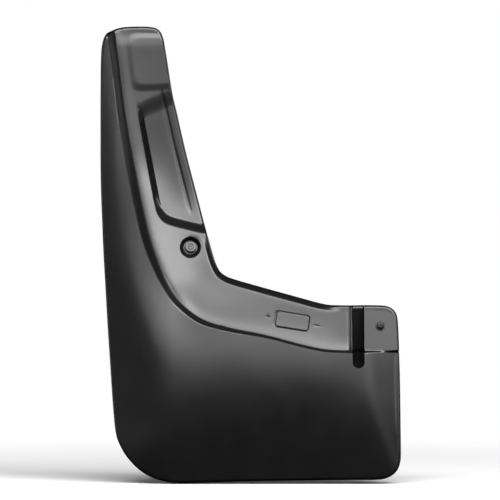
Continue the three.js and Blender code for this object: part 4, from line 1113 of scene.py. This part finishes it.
# ------------------------------------------------------------------ screw set, y from tab face
SCREW_HEAD_R, SCREW_HEAD_THICK, SCREW_LENGTH = 3.3, 2.1, 15.5
SHANK_TOP_R, THREAD_ROOT_R, THREAD_HEIGHT, THREAD_PITCH = 1.85, 1.48, 0.5, 1.4
WASHER_R, WASHER_BORE_R, WASHER_THICK = 4.3, 2.35, 0.8
UNDER_HEAD = GAP + WASHER_THICK + GAP


def add_screw():
    """A threaded shank with a tapered end, and a pan head with a cross recess."""
    segments, tip = 64, UNDER_HEAD - SCREW_LENGTH
    angle = np.arange(segments) * 2 * math.pi / segments
    rows = [[(0.0, tip, 0.0)]]
    for y in np.arange(tip + 0.06, UNDER_HEAD - 0.01, 0.1):
        turn = np.mod(y / THREAD_PITCH + angle / (2 * math.pi), 1.0)
        crest = smooth((np.abs(2 * turn - 1) - 0.1) / 0.75)
        fade = float(smooth((UNDER_HEAD - 1.0 - y) / 0.9))
        r = THREAD_ROOT_R + THREAD_HEIGHT * crest * fade
        r = r + (SHANK_TOP_R - r) * float(smooth((y - UNDER_HEAD + 1.6) / 0.8))
        r = r * (0.22 + 0.78 * float(smooth((y - tip) / 2.6)) ** 0.7)
        rows.append([(r[i] * math.cos(angle[i]), y, r[i] * math.sin(angle[i]))
                     for i in range(segments)])
    head = [(SHANK_TOP_R, UNDER_HEAD), (SCREW_HEAD_R, UNDER_HEAD),
            (SCREW_HEAD_R, UNDER_HEAD + 0.75), (SCREW_HEAD_R - 0.25, UNDER_HEAD + 1.25),
            (SCREW_HEAD_R - 0.8, UNDER_HEAD + 1.72)]
    rows += [ring(r, y, segments) for r, y in soften(head, 0.16, closed=False)[1:]]
    crown_r, arm, recess_depth, head_top = 2.42, 1.72, 1.3, UNDER_HEAD + SCREW_HEAD_THICK

    def height(r, cut_share):
        depth = recess_depth * cut_share * (1 - 0.42 * min(r / arm, 1.0))
        return head_top - 0.34 * (r / crown_r) ** 2 - depth
    rows += cross_rows(crown_r, 34, segments, arm=arm, half_width=0.4, height=height)
    rows.append([(0.0, head_top - recess_depth, 0.0)])
    piece("tab_screw", rows_mesh("screw", rows, tab_frame, False), "black_steel",
          body="screw", angle=50)


def add_washer():
    low, high = GAP, GAP + WASHER_THICK
    profile = [(WASHER_BORE_R, low), (WASHER_R, low), (WASHER_R, high), (WASHER_BORE_R, high)]
    mesh = turned("washer", soften(profile, 0.22, steps=4), 72, tab_frame, True)
    piece("tab_washer", mesh, "black_steel", body="washer")


add_screw()
add_washer()

# ------------------------------------------------------------------ clip nut
NUT_WIDTH, NUT_LENGTH, STRIP, NUT_THROAT = 11.0, 17.0, 0.8, 3.0
BARREL_R, BARREL_LENGTH, BARREL_BORE_R = 3.5, 3.4, 2.35
# depths behind the tab's face: outer and inner side of the near leaf, then of the far leaf
NEAR_OUT = WALL + GAP
NEAR_IN = NEAR_OUT + STRIP
FAR_IN = NEAR_OUT + STRIP + NUT_THROAT
FAR_OUT = FAR_IN + STRIP


def nut_profile():
    """Side view of the folded strip (x up the tab, y outwards); the bend is at the top."""
    low, high = -NUT_LENGTH * 0.52, NUT_LENGTH * 0.40
    bend_r, mid = (FAR_OUT - NEAR_OUT) / 2, (NEAR_OUT + FAR_OUT) / 2

    def bend(r, way):
        angles = [way * (-math.pi / 2 + math.pi * i / 14) for i in range(1, 15)]
        return [(high + r * math.cos(a), -mid + r * math.sin(a)) for a in angles]
    return [
        (low + 0.3, -NEAR_OUT), (high, -NEAR_OUT), *bend(bend_r, -1),
        (low + 3.4, -FAR_OUT), (low + 2.6, -FAR_OUT - 0.12), (low - 0.5, -FAR_OUT - 1.2),
        (low - 0.6, -FAR_OUT - 0.5), (low + 2.7, -FAR_IN - 0.1), (low + 3.5, -FAR_IN),
        (high, -FAR_IN), *bend(bend_r - STRIP, 1),
        (low + 0.3, -NEAR_IN), (low, -NEAR_IN + 0.25), (low, -NEAR_OUT - 0.25)]


def add_clip_nut():
    """A folded spring strip with a drawn barrel."""
    up = Vector((0, 0, 1))
    up_tab = (up - tab_normal * up.dot(tab_normal)).normalized()
    side = up_tab.cross(tab_normal)
    nut_frame = axes_matrix(up_tab, tab_normal, side, tab_frame.translation)
    bm = bmesh.new()
    face = bm.faces.new([bm.verts.new(nut_frame @ Vector((x / 1000, y / 1000, -NUT_WIDTH / 2000)))
                         for x, y in nut_profile()])
    extruded = bmesh.ops.extrude_face_region(bm, geom=[face])["geom"]
    bmesh.ops.translate(bm, verts=[e for e in extruded if isinstance(e, bmesh.types.BMVert)],
                        vec=side * NUT_WIDTH / 1000)
    mesh = close_bmesh(bm, bpy.data.meshes.new("nut"))
    nut = link("tab_clip_nut_visual", mesh, MATERIALS["zinc_steel"])
    modify(nut, "BEVEL", width=0.00013, segments=2, limit_method="ANGLE",
           angle_limit=math.radians(50))
    end = -FAR_OUT - BARREL_LENGTH
    barrel = [(BARREL_BORE_R, end), (BARREL_R - 0.35, end), (BARREL_R, end + 0.5),
              (BARREL_R, -FAR_OUT - 0.5), (BARREL_R + 0.5, -FAR_OUT - 0.02),
              (BARREL_R + 0.4, -FAR_IN - 0.3), (BARREL_BORE_R, -FAR_IN - 0.3)]
    cut(nut, turned("cutter", soften(barrel, 0.2), 56, nut_frame, True), "UNION")
    # bore of the barrel, then the wider hole in the near leaf: radius, y from, y to
    for r, y0, y1 in ((BARREL_BORE_R, end - 2, -FAR_IN + 1),
                      (BARREL_BORE_R + 0.6, -NEAR_IN - 1, -NEAR_OUT + 1)):
        cut(nut, turned("cutter", [(0, y0), (r, y0), (r, y1), (0, y1)], 48, nut_frame, False))
    finish(nut, "tab_clip_nut", "zinc_steel")


add_clip_nut()

# ------------------------------------------------------------------ foam pads
PAD_CORNER_R, PAD_EDGE_R = 2.4, 1.5
# place, corners (x, z) counter-clockwise from the lower left, seed of the surface noise
PADS = [
    ("upper", [[-99.5, 366], [-84.5, 367], [-87.5, 392.5], [-101.5, 391.5]], 1.0),
    ("lower", [[-72.8, 262], [-64.4, 262], [-79.2, 320], [-87, 320]], 2.0),
    ("flange", [[-4, 145], [68, 129.5], [68, 148], [-4, 164]], 3.0),
]


def pad_stations(half):
    """Grid lines across a pad, finer near its border."""
    flat = half - PAD_EDGE_R
    edge = flat + PAD_EDGE_R * np.sin(np.linspace(0, math.pi / 2, 8))
    middle = np.linspace(-flat, flat, max(3, int(2 * flat / 0.9)))
    return np.concatenate([-edge[::-1], middle[1:-1], edge])


def add_foam_pad(place, corners, seed):
    """A pad on the hidden side: flat behind, soft rounded edges, a slightly sunken skin."""
    mount = next(m for m in frame["record"]["mounts"] if m["name"] == f"{place}_pad_face")
    axis = mount["axis"]
    origin = [v * 1000 - SHIFT[i] for i, v in enumerate(mount["pos_m"])]
    c = np.array(corners, float)
    half_w = (np.linalg.norm(c[1] - c[0]) + np.linalg.norm(c[2] - c[3])) / 4
    half_h = (np.linalg.norm(c[3] - c[0]) + np.linalg.norm(c[2] - c[1])) / 4
    corner_r = min(PAD_CORNER_R, half_w * 0.45, half_h * 0.45)
    core_w, core_h = half_w - corner_r, half_h - corner_r

    us, vs = pad_stations(half_w), pad_stations(half_h)
    nu, nv = len(us), len(vs)
    u, v = np.meshgrid(us, vs)
    u, v = u.ravel(), v.ravel()
    core_u, core_v = np.clip(u, -core_w, core_w), np.clip(v, -core_h, core_h)
    du, dv = u - core_u, v - core_v              # square corners are drawn in to round ones
    r = np.hypot(du, dv)
    pull = np.where(r > 1e-9, np.maximum(np.abs(du), np.abs(dv)) / np.maximum(r, 1e-9), 1.0)
    u, v = core_u + du * pull, core_v + dv * pull
    over_u, over_v = np.abs(u) - core_w, np.abs(v) - core_h
    inset = corner_r - (np.hypot(np.maximum(over_u, 0), np.maximum(over_v, 0))
                        + np.minimum(np.maximum(over_u, over_v), 0))

    a, b = (u / half_w + 1) / 2, (v / half_h + 1) / 2
    weights = ((1 - a) * (1 - b), a * (1 - b), a * b, (1 - a) * b)
    x, z = sum(w[:, None] * corner for w, corner in zip(weights, c)).T
    plane = origin[1] - (axis[0] * (x - origin[0]) + axis[2] * (z - origin[2])) / axis[1]
    near_y = hidden_y(offset_face, x, z) + 0.06
    drop = np.minimum(quarter_round(inset, PAD_EDGE_R), np.maximum(plane - near_y, 0.5) * 0.45)
    dimple = np.array([mnoise.noise(Vector((px * 0.22 + seed, pz * 0.22, seed * 3.1)))
                       for px, pz in zip(x, z)]) * 0.10 - 0.10
    far_y = plane - drop + dimple * np.clip(inset / PAD_EDGE_R, 0, 1)
    near_y = near_y + drop * 0.4

    n = len(x)
    verts = [*zip(x, far_y, z), *zip(x, near_y, z)]
    faces = []
    for j in range(nv - 1):
        for i in range(nu - 1):
            p = j * nu + i
            faces.append((p, p + nu, p + nu + 1, p + 1))
            faces.append((n + p, n + p + 1, n + p + nu + 1, n + p + nu))
    edge = [*range(nu), *(j * nu + nu - 1 for j in range(1, nv)),
            *((nv - 1) * nu + i for i in range(nu - 2, -1, -1)),
            *(j * nu for j in range(nv - 2, 0, -1))]
    middle = {}                                  # a row half-way down the side
    for p in edge:
        middle[p] = len(verts)
        verts.append((x[p], (far_y[p] + near_y[p]) / 2, z[p]))
    for p, q in zip(edge, edge[1:] + edge[:1]):
        faces.append((p, q, middle[q], middle[p]))
        faces.append((middle[p], middle[q], n + q, n + p))
    cad = f"{place}_tape_pad"
    mesh = solid_mesh(f"{cad}_visual", to_metres(verts).tolist(), faces)
    piece(cad, mesh, "foam_black", angle=60)


for place, corners, seed in PADS:
    add_foam_pad(place, corners, seed)

# ------------------------------------------------------------------ studio (metres)
LIGHT_TARGET = Vector((0, 0, 0.205))
# azimuth (0 is the camera's side, positive to its right), elevation (degrees), distance,
# width, height, radiance
SOFTBOXES = {
    "key": (6.9, 45.8, 2.4, 2.86, 1.22, 9.66),
    "knee_side": (39, 38, 2.35, 1.0, 0.8, 6.5),
    "low_right": (17.8, 22.7, 2.4, 1.5, 0.55, 2.7),
    "left": (-72, 14, 2.4, 0.6, 1.2, 3.0),
    "front_low": (30, 1, 2.4, 0.8, 0.8, 0.78),
    "right": (63, 17, 2.4, 0.45, 0.9, 5.8),
    "side_right": (92, 14, 2.8, 1.3, 1.0, 0.5),
    "back_left": (205, 9, 2.8, 1.6, 0.8, 2.2),
    "back_right": (140, 9, 2.8, 1.6, 0.8, 1.6),
}


def area_light(name, place, target, width, height, radiance):
    data = bpy.data.lights.new(name, "AREA")
    data.shape = "RECTANGLE"
    data.size, data.size_y = width, height
    data.energy = radiance * math.pi * width * height
    obj = bpy.data.objects.new(name, data)
    bpy.context.scene.collection.objects.link(obj)
    obj.location = place
    obj.rotation_mode = "QUATERNION"
    obj.rotation_quaternion = (Vector(target) - Vector(place)).to_track_quat("-Z", "Y")
    obj.visible_camera = False


def add_lights():
    for name, (azimuth, elevation, distance, width, height, radiance) in SOFTBOXES.items():
        a, e = math.radians(azimuth), math.radians(elevation)
        way = Vector((math.sin(a) * math.cos(e), -math.cos(a) * math.cos(e), math.sin(e)))
        area_light(name, LIGHT_TARGET + way * distance, LIGHT_TARGET, width, height, radiance)
    # two cards lying near the floor and facing up, behind the part and in front of it
    area_light("back_card", place=(0, 0.86, 0.012), target=(0, 0.86, 1.0),
               width=2.8, height=1.4, radiance=3.6)
    area_light("front_card", place=(-0.47, -0.5, 0.012), target=(-0.47, -0.5, 1.0),
               width=0.5, height=0.9, radiance=0.75)


def add_world():
    """White to the camera, almost dark to everything else."""
    world = bpy.data.worlds.new("studio")
    bpy.context.scene.world = world
    world.use_nodes = True
    tree = world.node_tree
    tree.nodes.clear()
    output = add_node(tree, "ShaderNodeOutputWorld")
    mix = add_node(tree, "ShaderNodeMixShader")
    rays = add_node(tree, "ShaderNodeLightPath")
    tree.links.new(rays.outputs["Is Camera Ray"], mix.inputs[0])
    for socket, strength in ((mix.inputs[1], 0.004), (mix.inputs[2], 1.0)):
        background = add_node(tree, "ShaderNodeBackground", Color=(1, 1, 1, 1), Strength=strength)
        tree.links.new(background.outputs[0], socket)
    tree.links.new(mix.outputs[0], output.inputs[0])


def floor_material():
    """Pale near the part, fading outwards into the white surround."""
    material, tree, shader = new_material("floor")
    shader.inputs["Base Color"].default_value = (0.86, 0.86, 0.86, 1)
    shader.inputs["Roughness"].default_value = 0.8
    glow = add_node(tree, "ShaderNodeEmission", Strength=1.0)
    geometry = add_node(tree, "ShaderNodeNewGeometry")
    radius = add_node(tree, "ShaderNodeVectorMath", operation="LENGTH")
    tree.links.new(geometry.outputs["Position"], radius.inputs[0])
    fade = map_range(tree, radius.outputs["Value"], from_range=(0.16, 0.95))
    fade.node.interpolation_type = "SMOOTHSTEP"
    mix = add_node(tree, "ShaderNodeMixShader")
    for source, socket in zip((fade, shader.outputs[0], glow.outputs[0]), mix.inputs):
        tree.links.new(source, socket)
    tree.links.new(mix.outputs[0], tree.nodes["Material Output"].inputs[0])
    return material


def add_floor():
    bm = bmesh.new()
    bmesh.ops.create_circle(bm, cap_ends=True, radius=30.0, segments=96)
    mesh = bpy.data.meshes.new("floor")
    bm.to_mesh(mesh)
    bm.free()
    floor = link("floor", mesh, floor_material())
    floor.location.z = -0.0006
    floor.visible_glossy = False
    floor.visible_diffuse = False


def add_camera():
    distance, view_width = 4.0, 0.45
    data = bpy.data.cameras.new("camera")
    data.sensor_width = 36
    data.lens = 36 * distance / view_width
    data.clip_end = 100
    camera = bpy.data.objects.new("camera", data)
    bpy.context.scene.collection.objects.link(camera)
    camera.location = (-0.0001, -distance, 0.208)
    camera.rotation_euler = (math.pi / 2, 0, 0)
    bpy.context.scene.camera = camera
    bpy.context.scene.view_settings.view_transform = "Standard"


add_lights()
add_world()
add_floor()
add_camera()
